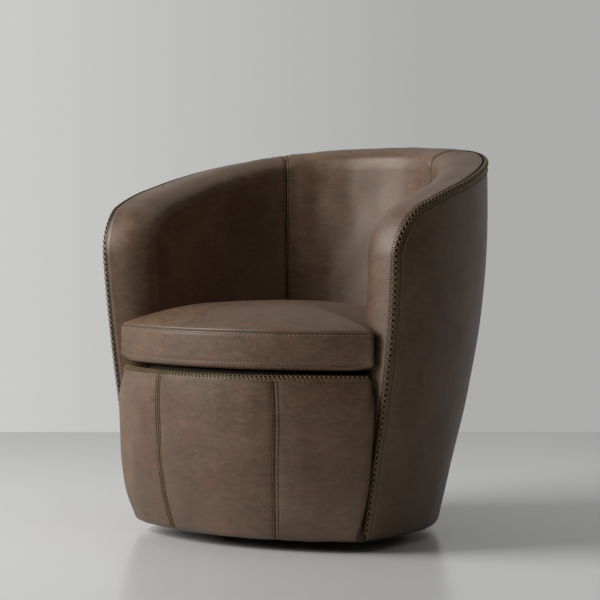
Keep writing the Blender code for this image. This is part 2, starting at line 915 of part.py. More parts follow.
def apron_turns(start, end):
    """Angles of the apron's grid, closer at its free ends."""
    step = 2 * apron_turn / apron_facets
    turns = []
    roll_turn = apron_edge_radius / apron_arc_radius
    if start <= -apron_turn:
        turns += [start + roll_turn * share for share in apron_edge_shares]
        start = turns.pop()
    tail = []
    if end >= apron_turn:
        tail = [end - roll_turn * share for share in reversed(apron_edge_shares)]
        end = tail.pop(0)
    count = max(round((end - start) / step), 1)
    return turns + [start + (end - start) * index / count for index in range(count + 1)] + tail


def apron_sheet(turns, rows, depth, rolled=True):
    points, faces = [], []
    for turn in turns:
        for height in rows:
            back = depth
            if rolled:
                back += edge_roll((apron_turn - abs(turn)) * apron_arc_radius)
                back += edge_roll(min(height - cover_bottom, apron_top - height))
            points.append(apron_point(turn, height, min(back, depth + apron_edge_radius)))
    levels = len(rows)
    for column in range(len(turns) - 1):
        for row in range(levels - 1):
            corner = column * levels + row
            face = (corner, corner + 1, corner + levels + 1, corner + levels)
            faces += triangles([face], turns[column] + turns[column + 1] > 0)
    return points, faces


def make_apron():
    """The upright panel under the seat: board, pad, three covers and a laced bead."""
    rows = apron_rows()
    gap_turn = seam_gap / 2 / apron_arc_radius
    spans = (
        ("left", -apron_turn, -seam_turn - gap_turn),
        ("middle", -seam_turn + gap_turn, seam_turn - gap_turn),
        ("right", seam_turn + gap_turn, apron_turn),
    )
    for side, start, end in spans:
        points, faces = apron_sheet(apron_turns(start, end), rows, 0.0)
        leather_shell("apron_cover_" + side, points, turned_sheet(points, faces, False)[0])
    turns = apron_turns(-apron_turn, apron_turn)
    points, faces = apron_sheet(turns, rows, 0.0)
    faces, normals = turned_sheet(points, faces, False)
    back, _ = apron_sheet(turns, rows, pad_depth, False)
    closed_between("apron_pad", moved(points, normals, -(leather + layer_gap)), back, faces, foam)
    reach = apron_turn * apron_board_share
    turns = [-reach + 2 * reach * index / apron_facets for index in range(apron_facets + 1)]
    edges = len(apron_edge_shares) - 1
    rows = rows[edges:-edges]
    front, faces = apron_sheet(turns, rows, board_out + layer_gap, False)
    back, _ = apron_sheet(turns, rows, board_in + layer_gap, False)
    closed_between("apron_board", front, back, faces, birch)
    front, faces = apron_sheet(turns, (rail_low, rail_high), rail_out + 2 * layer_gap, False)
    back, _ = apron_sheet(turns, (rail_low, rail_high), rail_in + 2 * layer_gap, False)
    closed_between("seat_rail_front", front, back, faces, beech)
    reach = apron_turn - apron_edge_radius / apron_arc_radius
    run = []
    for index in range(apron_facets + 1):
        turn = -reach + 2 * reach * index / apron_facets
        run.append(apron_point(turn, apron_top + bead_radius + touch_gap, apron_edge_radius + leather / 2))
    tube("apron_bead", run, bead_radius, hide_edge)


def front_arc(turn, depth, heights, count):
    """Points along the inner side of the apron's board, from right to left."""
    points = []
    for index in range(count + 1):
        places = [apron_front(turn - 2 * turn * index / count, depth, height) for height in heights]
        points.append((min((place.x for place in places), key=abs), max(place.y for place in places)))
    return points


def make_seat_frame():
    """The bottom board, the rails that carry the springs, and their braces."""
    first, last = first_bent, last_column - first_bent
    inner = plywood_in + layer_gap
    beside_arm = arm_thickness + leather + layer_gap
    outline = [tuple(wall_point(columns[first], board_low, beside_arm).xy)]
    for index in range(first, last + 1):
        outline.append(tuple(wall_point(columns[index], board_low, inner).xy))
    outline.append(tuple(wall_point(columns[last], board_low, beside_arm).xy))
    veil_low = board_low - touch_gap - dust_cloth
    front = front_arc(apron_turn * board_front_share, board_in + 2 * layer_gap, (veil_low, board_high), 8)
    outline += list(reversed(front))
    board = slab("bottom_board", outline, board_low, board_high, birch)
    hole(board, pin_head_radius + 2 * cage_thickness, board_low, board_high, 24)
    for index in range(4):
        sides = ((1, 1), (-1, 1), (-1, -1), (1, -1))[index]
        place = (sides[0] * bolt_place, sides[1] * bolt_place)
        hole(board, bolt_radius + touch_gap, board_low, board_high - touch_gap, 8, place)
    veil = slab("dust_cover", outline, veil_low, board_low - touch_gap, cloth)
    half = plate_side / 2 + layer_gap
    opening = box(
        "dust_cover_opening", (-half, -half, veil_low - cut_overrun),
        (half, half, board_low + cut_overrun), cloth, cutters,
    )
    as_cutter(opening)
    cut(veil, opening)
    rail_depths = (plywood_in + layer_gap, plywood_in + layer_gap + rail_depth)
    wall_block(
        "seat_rail_back", panel_index - 2, back_index + 2, rail_depths,
        lambda angle: [rail_low, (rail_low + rail_high) / 2, rail_high], beech,
    )


def run_y(points, x):
    """Where a run of points from right to left passes a place across the chair."""
    for start, end in zip(points, points[1:]):
        if end[0] <= x <= start[0]:
            return start[1] + (end[1] - start[1]) * (x - start[0]) / (end[0] - start[0])
    return points[0][1]


def back_rail_y(x):
    """How far back the rail's inner face is, at a place across the chair."""
    reach = plywood_in + layer_gap + rail_depth
    span = columns[panel_index - 2:back_index + 3]
    points = [
        min((wall_point(angle, height, reach) for height in (rail_low, rail_high)), key=lambda place: place.y)
        for angle in span
    ]
    return run_y(points, x)


def front_rail_y(x, depth):
    """How far forward a face of the front rail is, at a place across the chair."""
    turn = apron_turn * apron_board_share
    return run_y(front_arc(turn, depth + 2 * layer_gap, (rail_low, rail_high), apron_facets), x)


def make_side_rails():
    """Straight rails from front to back, each with a brace out to the shell."""
    for side, way in (("right", 1), ("left", -1)):
        inner, outer = side_rail_x, side_rail_x + rail_depth
        low_y = front_rail_y(outer, rail_in) + layer_gap
        high_y = back_rail_y(outer) - touch_gap
        spans = sorted((way * inner, way * outer))
        box("seat_rail_" + side, (spans[0], low_y, rail_low), (spans[1], high_y, rail_high), beech)
        spans = sorted((way * (outer + touch_gap), way * (side_wall.x - touch_gap)))
        middle = side_wall.y
        box(
            "seat_brace_" + side,
            (spans[0], middle - side_brace_depth / 2, rail_low),
            (spans[1], middle + side_brace_depth / 2, rail_high),
            beech,
        )


def make_springs():
    """Zigzag wire springs from the front rail to the back rail."""
    height = rail_high + touch_gap + spring_wire
    reach = side_rail_x - spring_amplitude - rail_depth / 2
    for index in range(spring_count):
        x = -reach + 2 * reach * index / (spring_count - 1)
        start = front_rail_y(x, rail_in) - rail_depth / 2
        end = back_rail_y(x) + rail_depth / 2
        count = round((end - start) / (spring_pitch / 2))
        points = [(x, start, height)]
        for step in range(1, count):
            way = 1 if step % 2 else -1
            y = start + (end - start) * step / count
            points.append((x + way * spring_amplitude / 2, y - spring_pitch / 8, height))
            points.append((x + way * spring_amplitude / 2, y + spring_pitch / 8, height))
        points.append((x, end, height))
        tube("seat_spring_" + str(index + 1), points, spring_wire, spring_steel, 0)


def deck_outline(height, clearance):
    """The sprung deck's plan, inside the covers and behind the apron's board."""
    first, last = first_bent, last_column - first_bent
    points = []
    for index in range(first, last + 1):
        depth = wall_thickness(columns[index], height) + leather + clearance
        points.append(tuple(wall_point(columns[index], height, depth).xy))
    front = front_arc(apron_turn * deck_front_share, board_in + 2 * layer_gap, (pad_low, apron_top), 12)
    return points + list(reversed(front))


def make_deck():
    outline = deck_outline(pad_low, layer_gap)
    slab("deck_pad", outline, deck_low, pad_high, foam)
    slab("deck_cloth", outline, cloth_low, cloth_high, cloth)


crown_middle = centre_y - crown_lead
wing_half_width = arm_front.x - wing_inset
wing_front = arm_front.y - wing_lead


def cushion_outline(height):
    """The loose cushion's plan: round at the back, with short wings before the arms."""
    right = []
    for turn in tip_turns:
        lean = math.radians(turn)
        right.append((
            wing_half_width - corner_radius + corner_radius * math.sin(lean),
            wing_front + wing_depth * (1 - math.cos(lean)) / 2,
        ))
    for row, turn in enumerate((0.0,) + roll_inner_turns):
        depth, reach = roll_section(height)[len(roll_outer_turns) - 1 + row]
        lean = math.radians(turn)
        depth += cushion_clearance * math.sin(lean)
        reach -= cushion_clearance * (1 + math.cos(lean)) / 2
        place = wall_point(arm_angle + reach / edge_girth(height), height, depth)
        right.append((place.x, place.y))
    for index in range(first_bent, len(columns) // 2 + 1):
        depth = wall_thickness(columns[index], height) + cushion_clearance
        place = wall_point(columns[index], height, depth)
        right.append((place.x, place.y))
    start = wing_half_width - corner_radius
    bow = wing_front + chair_depth / 2 - cushion_setback
    front = []
    for index in range(front_facets):
        x = start * index / front_facets
        front.append((x, wing_front - bow * (1 - (x / start) ** 2)))
    outline = front + right
    return outline + [(-x, y) for x, y in reversed(outline[1:]) if x > touch_gap]


def inset_outline(outline, distance):
    """The same outline drawn in by a distance along its normals."""
    count = len(outline)
    drawn = []
    for index, (x, y) in enumerate(outline):
        before, after = outline[index - 1], outline[(index + 1) % count]
        along = Vector((after[0] - before[0], after[1] - before[1])).normalized()
        drawn.append((x - along.y * distance, y + along.x * distance))
    return drawn


def cushion_ring(height, inset):
    return [Vector((x, y, height)) for x, y in inset_outline(cushion_outline(height), inset)]


def crown_rings(inset, drop):
    """Rings of the cushion's crowned top, from its edge to near its middle."""
    edge_height = seat_height + cushion_height
    edge = cushion_ring(edge_height, inset)
    rings = []
    for share in crown_ring_shares:
        lift = cushion_crown * (1 - share ** crown_power) - drop
        rings.append([
            Vector((point.x * share, crown_middle + (point.y - crown_middle) * share, edge_height + lift))
            for point in edge
        ])
    return rings


def ring_faces(count, levels, closed=True):
    faces = []
    for level in range(levels - 1):
        for index in range(count if closed else count - 1):
            after = (index + 1) % count
            base = level * count
            faces.append((base + index, base + after, base + count + after, base + count + index))
    return faces


def make_cushion():
    """The loose seat cushion: a foam core in a top panel, boxing, a zip panel and a bottom."""
    top = crown_rings(0.0, 0.0)
    count = len(top[0])
    points = [point for ring in top for point in ring]
    faces = ring_faces(count, len(top))
    faces.append(tuple(range(len(points) - count, len(points))))
    leather_shell("cushion_top", points, faces)
    base = seat_height + leather + touch_gap
    height = cushion_height - 2 * (leather + touch_gap)
    rings = []
    for share in boxing_shares:
        swell = boxing_swell * math.sin(math.pi * share)
        rings.append(cushion_ring(base + height * share, -swell))
    back_first = front_facets + len(tip_turns) + len(roll_inner_turns) + 1 + panel_index - first_bent
    back_last = count - back_first
    for name, indexes in (
        ("cushion_zip_panel", list(range(back_first, back_last + 1))),
        ("cushion_boxing", list(range(back_last, count)) + list(range(back_first + 1))),
    ):
        points = []
        for ring in rings:
            run = [ring[index % count].copy() for index in indexes]
            run[0] += (run[1] - run[0]).normalized() * seam_gap / 2
            run[-1] += (run[-2] - run[-1]).normalized() * seam_gap / 2
            points += run
        leather_shell(name, points, ring_faces(len(indexes), len(rings), False))
    slab("cushion_bottom", cushion_outline(seat_height), seat_height, seat_height + leather, hide)
    inset = leather + 2 * layer_gap
    core = [cushion_ring(base + height * share, inset) for share in boxing_shares]
    core[0] = cushion_ring(seat_height + leather + touch_gap, inset)
    core += crown_rings(inset + boxing_swell, leather + touch_gap)[1:]
    points = [point for ring in core for point in ring]
    faces = ring_faces(count, len(core))
    faces.append(tuple(range(len(points) - count, len(points))))
    faces.append(tuple(reversed(range(count))))
    item = mesh_object("cushion_core", points, faces, foam)
    face_outward(item)


def carry_pieces():
    """The chair turns about an empty on the swivel axis, and the cushion hangs on one of its own."""
    turning = bpy.data.objects.new("swivel_axis", None)
    lifting = bpy.data.objects.new("cushion_place", None)
    still = ("floor_glide", "base_disc", "swivel_lower_plate", "lower_bolt", "ball_cage", "swivel_pin")
    for item in list(parts.objects):
        if item.name.startswith("cushion"):
            item.parent = lifting
            item.matrix_parent_inverse.translation.z = -seat_height
        elif not item.name.startswith(still):
            item.parent = turning
    for empty in (turning, lifting):
        parts.objects.link(empty)
        empty.empty_display_size = ball_circle
    lifting.parent = turning
    lifting.location.z = seat_height


make_swivel()
spaces = make_barrel()
make_covers()
make_foam(spaces)
make_apron()
make_seat_frame()
make_side_rails()
make_springs()
make_deck()
make_cushion()
carry_pieces()
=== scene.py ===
# %% [markdown]
# # A leather swivel club chair
# The real chair is a bent plywood barrel wrapped in foam and brown pull-up leather, with a laced seam
# round its rim, a loose seat cushion and a stitched front panel. The frame gives the size and place of
# every piece. Here each cover is modelled again as a fine skin over the same barrel, because leather
# shows its shape in small things: a seam that pulls in, a row of stitches, a soft crown.

import math

import bmesh
import bpy
import numpy as np
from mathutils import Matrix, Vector, kdtree, noise
from mathutils.bvhtree import BVHTree


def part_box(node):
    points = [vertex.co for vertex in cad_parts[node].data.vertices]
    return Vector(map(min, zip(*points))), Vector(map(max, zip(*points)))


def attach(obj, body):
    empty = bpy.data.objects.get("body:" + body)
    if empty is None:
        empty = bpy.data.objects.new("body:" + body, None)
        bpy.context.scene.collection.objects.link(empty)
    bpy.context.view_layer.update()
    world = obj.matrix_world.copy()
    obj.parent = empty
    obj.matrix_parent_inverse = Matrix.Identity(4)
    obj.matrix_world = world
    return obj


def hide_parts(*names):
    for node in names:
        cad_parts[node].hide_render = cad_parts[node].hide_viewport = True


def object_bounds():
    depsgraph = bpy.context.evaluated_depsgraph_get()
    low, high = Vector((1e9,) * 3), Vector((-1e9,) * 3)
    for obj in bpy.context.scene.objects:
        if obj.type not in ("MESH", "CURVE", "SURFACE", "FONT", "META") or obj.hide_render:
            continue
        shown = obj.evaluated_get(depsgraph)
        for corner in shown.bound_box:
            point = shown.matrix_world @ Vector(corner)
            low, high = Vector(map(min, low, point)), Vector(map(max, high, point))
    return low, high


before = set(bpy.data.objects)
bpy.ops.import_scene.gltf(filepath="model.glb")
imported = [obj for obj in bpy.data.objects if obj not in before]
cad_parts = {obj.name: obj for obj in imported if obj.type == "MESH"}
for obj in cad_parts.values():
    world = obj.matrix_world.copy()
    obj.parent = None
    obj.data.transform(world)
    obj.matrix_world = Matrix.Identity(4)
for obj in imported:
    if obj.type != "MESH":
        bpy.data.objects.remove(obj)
cad_bounds = [list(corner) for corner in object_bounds()]

# %% [markdown]
# ## The barrel's own surface
# Seen from above, the barrel is a superellipse, a circle with slightly fuller corners. Its width changes
# with height: narrow at the floor, widest near the rim, and low down it leans forward. Every cover is laid
# on this one surface, at some depth below it, so pieces can't drift apart. A point is named by its angle
# from the front, its height and its depth.

# %% Sizes read from the frame
outer_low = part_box("outer_cover_left")[0]
half_width = -outer_low[0]
plan_depth_share = 1.087
plan_power = 2.15
half_depth = half_width * plan_depth_share
centre_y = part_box("outer_cover_back")[1][1] - half_depth
cover_bottom = outer_low[2]
back_height = 0.815
arm_height = 0.651
arm_angle = math.radians(66.3)
panel_angle = math.radians(141.0)
knee_radius = 0.070
arm_thickness = 0.105
back_thickness = 0.128
leather_wall = 0.0016
seat_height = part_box("cushion_bottom")[0][2]
apron_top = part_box("apron_cover_middle")[1][2]
width_heights = (0.0, 0.18, 0.36, 0.545, 0.73, 0.88, 1.03)
width_shares = (0.768, 0.841, 0.911, 0.967, 0.997, 1.0, 0.994)
lean_forward = 0.026
lean_shares = (1.0, 0.72, 0.31, 0.0, 0.0, 0.0, 0.0)
rim_power = 2.25
print("half width", round(half_width, 4), "centre y", round(centre_y, 4), "seat", round(seat_height, 4))


# %% Smooth curves
def through_shares(value, places, shares):
    """A smooth curve through given shares."""
    last = len(places) - 1
    value = min(max(value, places[0]), places[last])
    slopes = []
    for index in range(last + 1):
        before, after = max(index - 1, 0), min(index + 1, last)
        slopes.append((shares[after] - shares[before]) / (places[after] - places[before]))
    index = 0
    while index < last - 1 and value > places[index + 1]:
        index += 1
    span = places[index + 1] - places[index]
    part = (value - places[index]) / span
    square, cube = part * part, part * part * part
    return (
        shares[index] * (2 * cube - 3 * square + 1) + slopes[index] * span * (cube - 2 * square + part)
        + shares[index + 1] * (3 * square - 2 * cube) + slopes[index + 1] * span * (cube - square)
    )


def ease(value):
    value = min(max(value, 0.0), 1.0)
    return value * value * (3 - 2 * value)


def ridge(way, place, width, height, power=2):
    """A rounded ridge across a way, or a groove where its height is negative."""
    return height * math.exp(-((way - place) / width) ** power)


def ridges(way, rows):
    """Several of them added up, each row a place, a width and a height."""
    return sum(ridge(way, *row) for row in rows)


half_way = through_shares(0.5, width_heights, width_shares)
print("half way up the back, the barrel has", round(half_way, 3), "of its width")


# %% The barrel's plan and its rim
def barrel_point(angle, height, depth=0.0):
    """A point at an angle from the front, moved in from the outer face by a depth."""
    wide = half_width * through_shares(height / back_height, width_heights, width_shares)
    forward = lean_forward * through_shares(height / back_height, width_heights, lean_shares)
    deep = wide * plan_depth_share
    sine, cosine = math.sin(angle), math.cos(angle)
    across = math.copysign(abs(sine) ** (2 / plan_power), sine)
    along = -math.copysign(abs(cosine) ** (2 / plan_power), cosine)
    inward = Vector((
        math.copysign(abs(across) ** (plan_power - 1), across) / wide,
        math.copysign(abs(along) ** (plan_power - 1), along) / deep,
    )).normalized()
    flat = Vector((wide * across, deep * along)) - inward * depth
    return Vector((flat.x, flat.y + centre_y - forward, height))


def from_front(angle):
    return math.pi - abs(math.pi - angle)


def rim_height(angle):
    """The rim's seam climbs from the arms to the back."""
    part = min(max((from_front(angle) - arm_angle) / (math.pi - arm_angle), 0.0), 1.0)
    return arm_height + (back_height - arm_height) * (1 - (1 - part) ** rim_power)


def padding(angle, height):
    """Depth of the inside leather: even at the arms, thicker low on the back."""
    behind = ease((from_front(angle) - math.pi / 2) / (math.pi / 2))
    low = 1 - ease((height - seat_height) / (rim_height(angle) - seat_height))
    return arm_thickness + (back_thickness - arm_thickness) * behind * low


print("rim at the back", round(rim_height(math.pi), 4), "at an arm", round(rim_height(arm_angle), 4))

# %% [markdown]
# ## The laced edge
# The seam between outside and inside leather runs from the floor up an arm's front edge, round its
# shoulder, along the rim and down the other arm. A station is one place on that edge, with the way in
# from it: back from the arm's front, down from the rim, and in between at the shoulder. The roll, the
# lacing and the stitch rows all hang on the same stations, so they stay parallel.

# %% Stations along the edge
knee_steps = 18
straight_step = 0.0065
rim_step = math.radians(1.0)


def knee_station(turn):
    angle = arm_angle + knee_radius * (1 - math.cos(turn)) / half_depth
    height = arm_height - knee_radius + knee_radius * math.sin(turn)
    height += (rim_height(angle) - arm_height) * math.sin(turn)
    return (angle, height, math.cos(turn), -math.sin(turn))


def front_stations(low):
    """Up an arm's front edge and half way round its shoulder."""
    corner = arm_height - knee_radius
    count = round((corner - low) / straight_step)
    found = [(arm_angle, low + (corner - low) * index / count, 1.0, 0.0) for index in range(count + 1)]
    return found + [knee_station(math.pi / 2 * k / knee_steps) for k in range(1, knee_steps // 2)]


def rim_stations(end):
    """From half way round the shoulder, along the rim to an angle."""
    found = [knee_station(math.pi / 2 * k / knee_steps) for k in range(knee_steps // 2, knee_steps + 1)]
    start = found[-1][0]
    count = round((end - start) / rim_step)
    for index in range(1, count + 1):
        angle = start + (end - start) * index / count
        found.append((angle, rim_height(angle), 0.0, -1.0))
    return found


def edge_girth(height):
    """Metres of plan per radian, beside an arm's front edge."""
    step = knee_radius / half_depth
    return (barrel_point(arm_angle + step, height) - barrel_point(arm_angle, height)).length / step


def mirrored(station):
    angle, height, along, up = station
    return (2 * math.pi - angle, height, -along, up)


half_edge = front_stations(cover_bottom) + rim_stations(math.pi)
print("stations on half of the edge:", len(half_edge))

# %% [markdown]
# ## Building skins
# A skin is a sheet of points in columns. A few helpers do the common work: one makes a mesh from points and
# faces with smooth shading, one turns it the right way out, and one moves each point along its own normal,
# which is how a seam is pressed in or a panel puffed out without touching the main shape.

# %% Mesh helpers
def in_scene(name, data):
    piece = bpy.data.objects.new(name, data)
    bpy.context.scene.collection.objects.link(piece)
    return piece


def grid_faces(columns, rows, closed=False):
    """Four-sided faces between points kept column by column; closed joins each column's end to its start."""
    return [
        (i * rows + k, (i + 1) * rows + k, (i + 1) * rows + (k + 1) % rows, i * rows + (k + 1) % rows)
        for i in range(columns - 1) for k in range(rows if closed else rows - 1)
    ]


def new_piece(name, points, faces, material):
    mesh = bpy.data.meshes.new(name)
    mesh.from_pydata([tuple(point) for point in points], [], faces)
    mesh.update()
    mesh.shade_smooth()
    mesh.materials.append(material)
    return in_scene(name, mesh)


def turn_outward(piece, point, way):
    """Turn every face the way of the one nearest to a point that is known to face that way."""
    shape = bmesh.new()
    shape.from_mesh(piece.data)
    bmesh.ops.recalc_face_normals(shape, faces=shape.faces)
    nearest = min(shape.faces, key=lambda face: (face.calc_center_median() - point).length)
    if nearest.normal.dot(way) < 0:
        bmesh.ops.reverse_faces(shape, faces=shape.faces)
    shape.to_mesh(piece.data)
    shape.free()
    piece.data.shade_smooth()


def lift(piece, amounts):
    """Move each point along its normal by its own amount."""
    mesh = piece.data
    places = np.empty(len(mesh.vertices) * 3, np.float32)
    ways = np.empty_like(places)
    mesh.vertices.foreach_get("co", places)
    mesh.vertex_normals.foreach_get("vector", ways)
    places += ways * np.repeat(np.asarray(amounts, np.float32), 3)
    mesh.vertices.foreach_set("co", places)
    mesh.update()


print("faces of a small closed grid:", len(grid_faces(2, 3, closed=True)))


# %% Modifiers and bodies
def applied(piece):
    """The piece's mesh with its modifiers in it, and none left on the piece."""
    graph = bpy.context.evaluated_depsgraph_get()
    mesh = bpy.data.meshes.new_from_object(piece.evaluated_get(graph))
    piece.modifiers.clear()
    return mesh


def give_wall(piece):
    """Close a skin by giving it the leather's thickness on its inner side."""
    wall = piece.modifiers.new("leather", "SOLIDIFY")
    wall.thickness = leather_wall
    wall.offset = -1.0
    piece.data = applied(piece)
    piece.data.shade_smooth()


def ride_as(piece, body, slot, *nodes):
    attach(piece, body)
    if nodes:
        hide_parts(*nodes)
    print(piece.name, "points", len(piece.data.vertices))


# %% [markdown]
# ## Leather
# Pull-up leather is brown with a reddish, cloudy marbling where the wax moved as the hide was
# stretched, and a fine pebble grain. Noise at three sizes mixes the browns, Voronoi cells press the
# grain, and an attribute kept on each cover, how near a point is to a seam, groove or hem, darkens the
# leather there as painted shade.

# %% A small node writer
def make_finish(name, roughness, metallic=0.0):
    material = bpy.data.materials.new(name)
    material.use_nodes = True
    tree = material.node_tree
    shader = tree.nodes["Principled BSDF"]
    shader.inputs["Roughness"].default_value = roughness
    shader.inputs["Metallic"].default_value = metallic
    return material, tree, shader


def add_node(tree, kind, **values):
    """A node with its settings and sockets given by name; a value that is a socket is linked."""
    node = tree.nodes.new(kind)
    for name, value in values.items():
        if hasattr(node, name):
            setattr(node, name, value)
            continue
        socket = node.inputs[int(name[1:])] if name[1:].isdigit() else node.inputs[name.replace("_", " ")]
        if isinstance(value, bpy.types.NodeSocket):
            tree.links.new(value, socket)
        else:
            socket.default_value = value
    return node


def feed(tree, shader, **sources):
    """Link each source to the shader's socket of that name."""
    for name, source in sources.items():
        tree.links.new(source, shader.inputs[name.replace("_", " ")])


def ramp(tree, amount, *stops):
    """Colours by amount, each stop a place and a colour."""
    node = add_node(tree, "ShaderNodeValToRGB", Fac=amount)
    elements = node.color_ramp.elements
    while len(elements) < len(stops):
        elements.new(0.5)
    for element, (place, colour) in zip(elements, stops):
        element.position = place
        element.color = (*colour, 1.0)
    return node.outputs["Color"]


def mix_colours(tree, amount, first, second):
    node = add_node(tree, "ShaderNodeMix", data_type="RGBA")
    for socket, value in ((node.inputs[0], amount), (node.inputs[6], first), (node.inputs[7], second)):
        if isinstance(value, bpy.types.NodeSocket):
            tree.links.new(value, socket)
        else:
            socket.default_value = (*value, 1.0)
    return node.outputs[2]


def from_srgb(red, green, blue):
    """A colour read as 0 to 255 on screen, as the shader wants it."""
    shares = [channel / 255 for channel in (red, green, blue)]
    return tuple(s / 12.92 if s <= 0.04045 else ((s + 0.055) / 1.055) ** 2.4 for s in shares)


print("mid grey on screen is", round(from_srgb(128, 128, 128)[0], 3), "to the shader")


# %% Sums and noises
def sum_of(tree, first, second, kind="ADD"):
    return add_node(tree, "ShaderNodeMath", operation=kind, _0=first, _1=second).outputs[0]


def times(tree, amount, share):
    return sum_of(tree, amount, share, "MULTIPLY")


def weighed(tree, first, first_share, second, second_share):
    return sum_of(tree, times(tree, first, first_share), times(tree, second, second_share))


def mapped(tree, value, low, high, to_low=0.0, to_high=1.0):
    return add_node(tree, "ShaderNodeMapRange", Value=value, From_Min=low, From_Max=high, To_Min=to_low,
                    To_Max=to_high).outputs[0]


def object_place(tree):
    return add_node(tree, "ShaderNodeTexCoord").outputs["Object"]


def stretched(tree, place, shares):
    return add_node(tree, "ShaderNodeVectorMath", operation="MULTIPLY", _0=place, _1=shares).outputs[0]


def length_along(tree, place, way):
    node = add_node(tree, "ShaderNodeVectorMath", operation="DOT_PRODUCT", _0=place, _1=tuple(way))
    return node.outputs["Value"]


def noise_of(tree, place, scale, detail=2.0, roughness=0.5, distortion=0.0):
    return add_node(tree, "ShaderNodeTexNoise", Vector=place, Scale=scale, Detail=detail, Roughness=roughness,
                    Distortion=distortion).outputs[0]


def bumped(tree, height, strength, distance):
    return add_node(tree, "ShaderNodeBump", Height=height, Strength=strength, Distance=distance).outputs[0]


# %% The brown leather
def leather_finish(name, shade_brown, dark, middle, light, red):
    material, tree, shader = make_finish(name, 0.5)
    shader.inputs["Specular IOR Level"].default_value = 0.75
    shader.inputs["Specular Tint"].default_value = (1.0, 0.92, 0.82, 1.0)
    place = object_place(tree)
    level = stretched(tree, place, (1.0, 1.0, 2.4))
    clouds = noise_of(tree, place, 6.0, 5.0, 0.6, 0.7)
    marble = noise_of(tree, level, 34.0, 8.0, 0.74, 1.2)
    both = weighed(tree, clouds, 0.45, marble, 0.55)
    brown = ramp(tree, both, (0.38, dark), (0.5, middle), (0.64, light))
    blush = mapped(tree, noise_of(tree, level, 9.0, 5.0, 0.65, 1.2), 0.5, 0.75)
    brown = mix_colours(tree, times(tree, blush, 0.55), brown, red)
    # painted shade: the leather turns towards a dark brown in and beside seams, grooves and hems
    near = add_node(tree, "ShaderNodeAttribute", attribute_name="painted_seam_shade").outputs["Fac"]
    brown = mix_colours(tree, times(tree, near, 0.8), brown, shade_brown)
    pebbles = add_node(tree, "ShaderNodeTexVoronoi", Vector=place, Scale=620.0, feature="SMOOTH_F1")
    creases = noise_of(tree, level, 90.0, 6.0, 0.7, 0.7)
    grain = sum_of(tree, times(tree, pebbles.outputs[0], 0.4), creases)
    feed(tree, shader, Base_Color=brown, Normal=bumped(tree, grain, 0.25, 0.0007),
         Roughness=mapped(tree, marble, 0.35, 0.7, 0.41, 0.54))
    return material


# the darkest brown given first is the painted shade of seams, grooves and hems
brown_leather = leather_finish(
    "brown_leather", shade_brown=from_srgb(42, 30, 19), dark=from_srgb(77, 56, 40), middle=from_srgb(96, 72, 53),
    light=from_srgb(115, 91, 69), red=from_srgb(114, 70, 52),
)
print("leather nodes:", len(brown_leather.node_tree.nodes))

# %% [markdown]
# ## A cover that hangs from the laced edge
# Close to the edge the leather follows it in parallel rows, so the strip's columns are the stations. The
# rest of the panel is a grid whose left side and top are the strip's last row, and whose points are
# blended from its four sides, as a sail is cut. The corner of that grid is the middle of the shoulder.

# %% Places beside an upright seam
seam_steps = (0.0005, 0.0013, 0.0024, 0.0037, 0.0051, 0.0065, 0.0079, 0.0096, 0.0120, 0.0155)
stitch_reach = 0.0065
joint_depth = 0.0038
apron_joint_depth = 0.0020
joint_width = 0.0015
seam_ridges = ((stitch_reach, 0.0017, -0.0013), (0.0, 0.013, -0.0010))
middle_height = 0.5
small_turn = 0.005


def girth_at(angle, height):
    """Metres along the wall for one radian of angle."""
    ends = barrel_point(angle + small_turn, height) - barrel_point(angle - small_turn, height)
    return ends.length / (2 * small_turn)


def beside_seam(side):
    """Rim stations close to the upright seam, on one side of it, the nearest first."""
    girth = girth_at(panel_angle, middle_height)
    angles = [panel_angle + side * step / girth for step in seam_steps]
    return [(angle, rim_height(angle), 0.0, -1.0) for angle in angles]


def seam_relief(distance, depth=joint_depth):
    """Leather beside an upright seam: the joint, the line its stitches pull in and the dip round both."""
    return ridge(distance, 0.0, joint_width, -depth) + ridges(distance, seam_ridges)


print("seam relief at its stitches:", round(seam_relief(stitch_reach), 4))

# %% The strip beside the edge
plain_reach = knee_radius + 0.02


def shares_of(places):
    return [(place - places[0]) / (places[-1] - places[0]) for place in places]


def edge_strip(stations, section):
    """Columns of points in from the edge, and each point's angle, height and reach."""
    points, facts = [], []
    for angle, height, along, up in stations:
        girth = edge_girth(height)
        for reach, depth in section(height):
            facts.append((angle + reach * along / girth, height + reach * up, reach))
            points.append(barrel_point(facts[-1][0], facts[-1][1], depth))
    return points, facts


print("stations close to one side of a seam:", len(beside_seam(1)))

# %% A side panel
evenness = 0.85


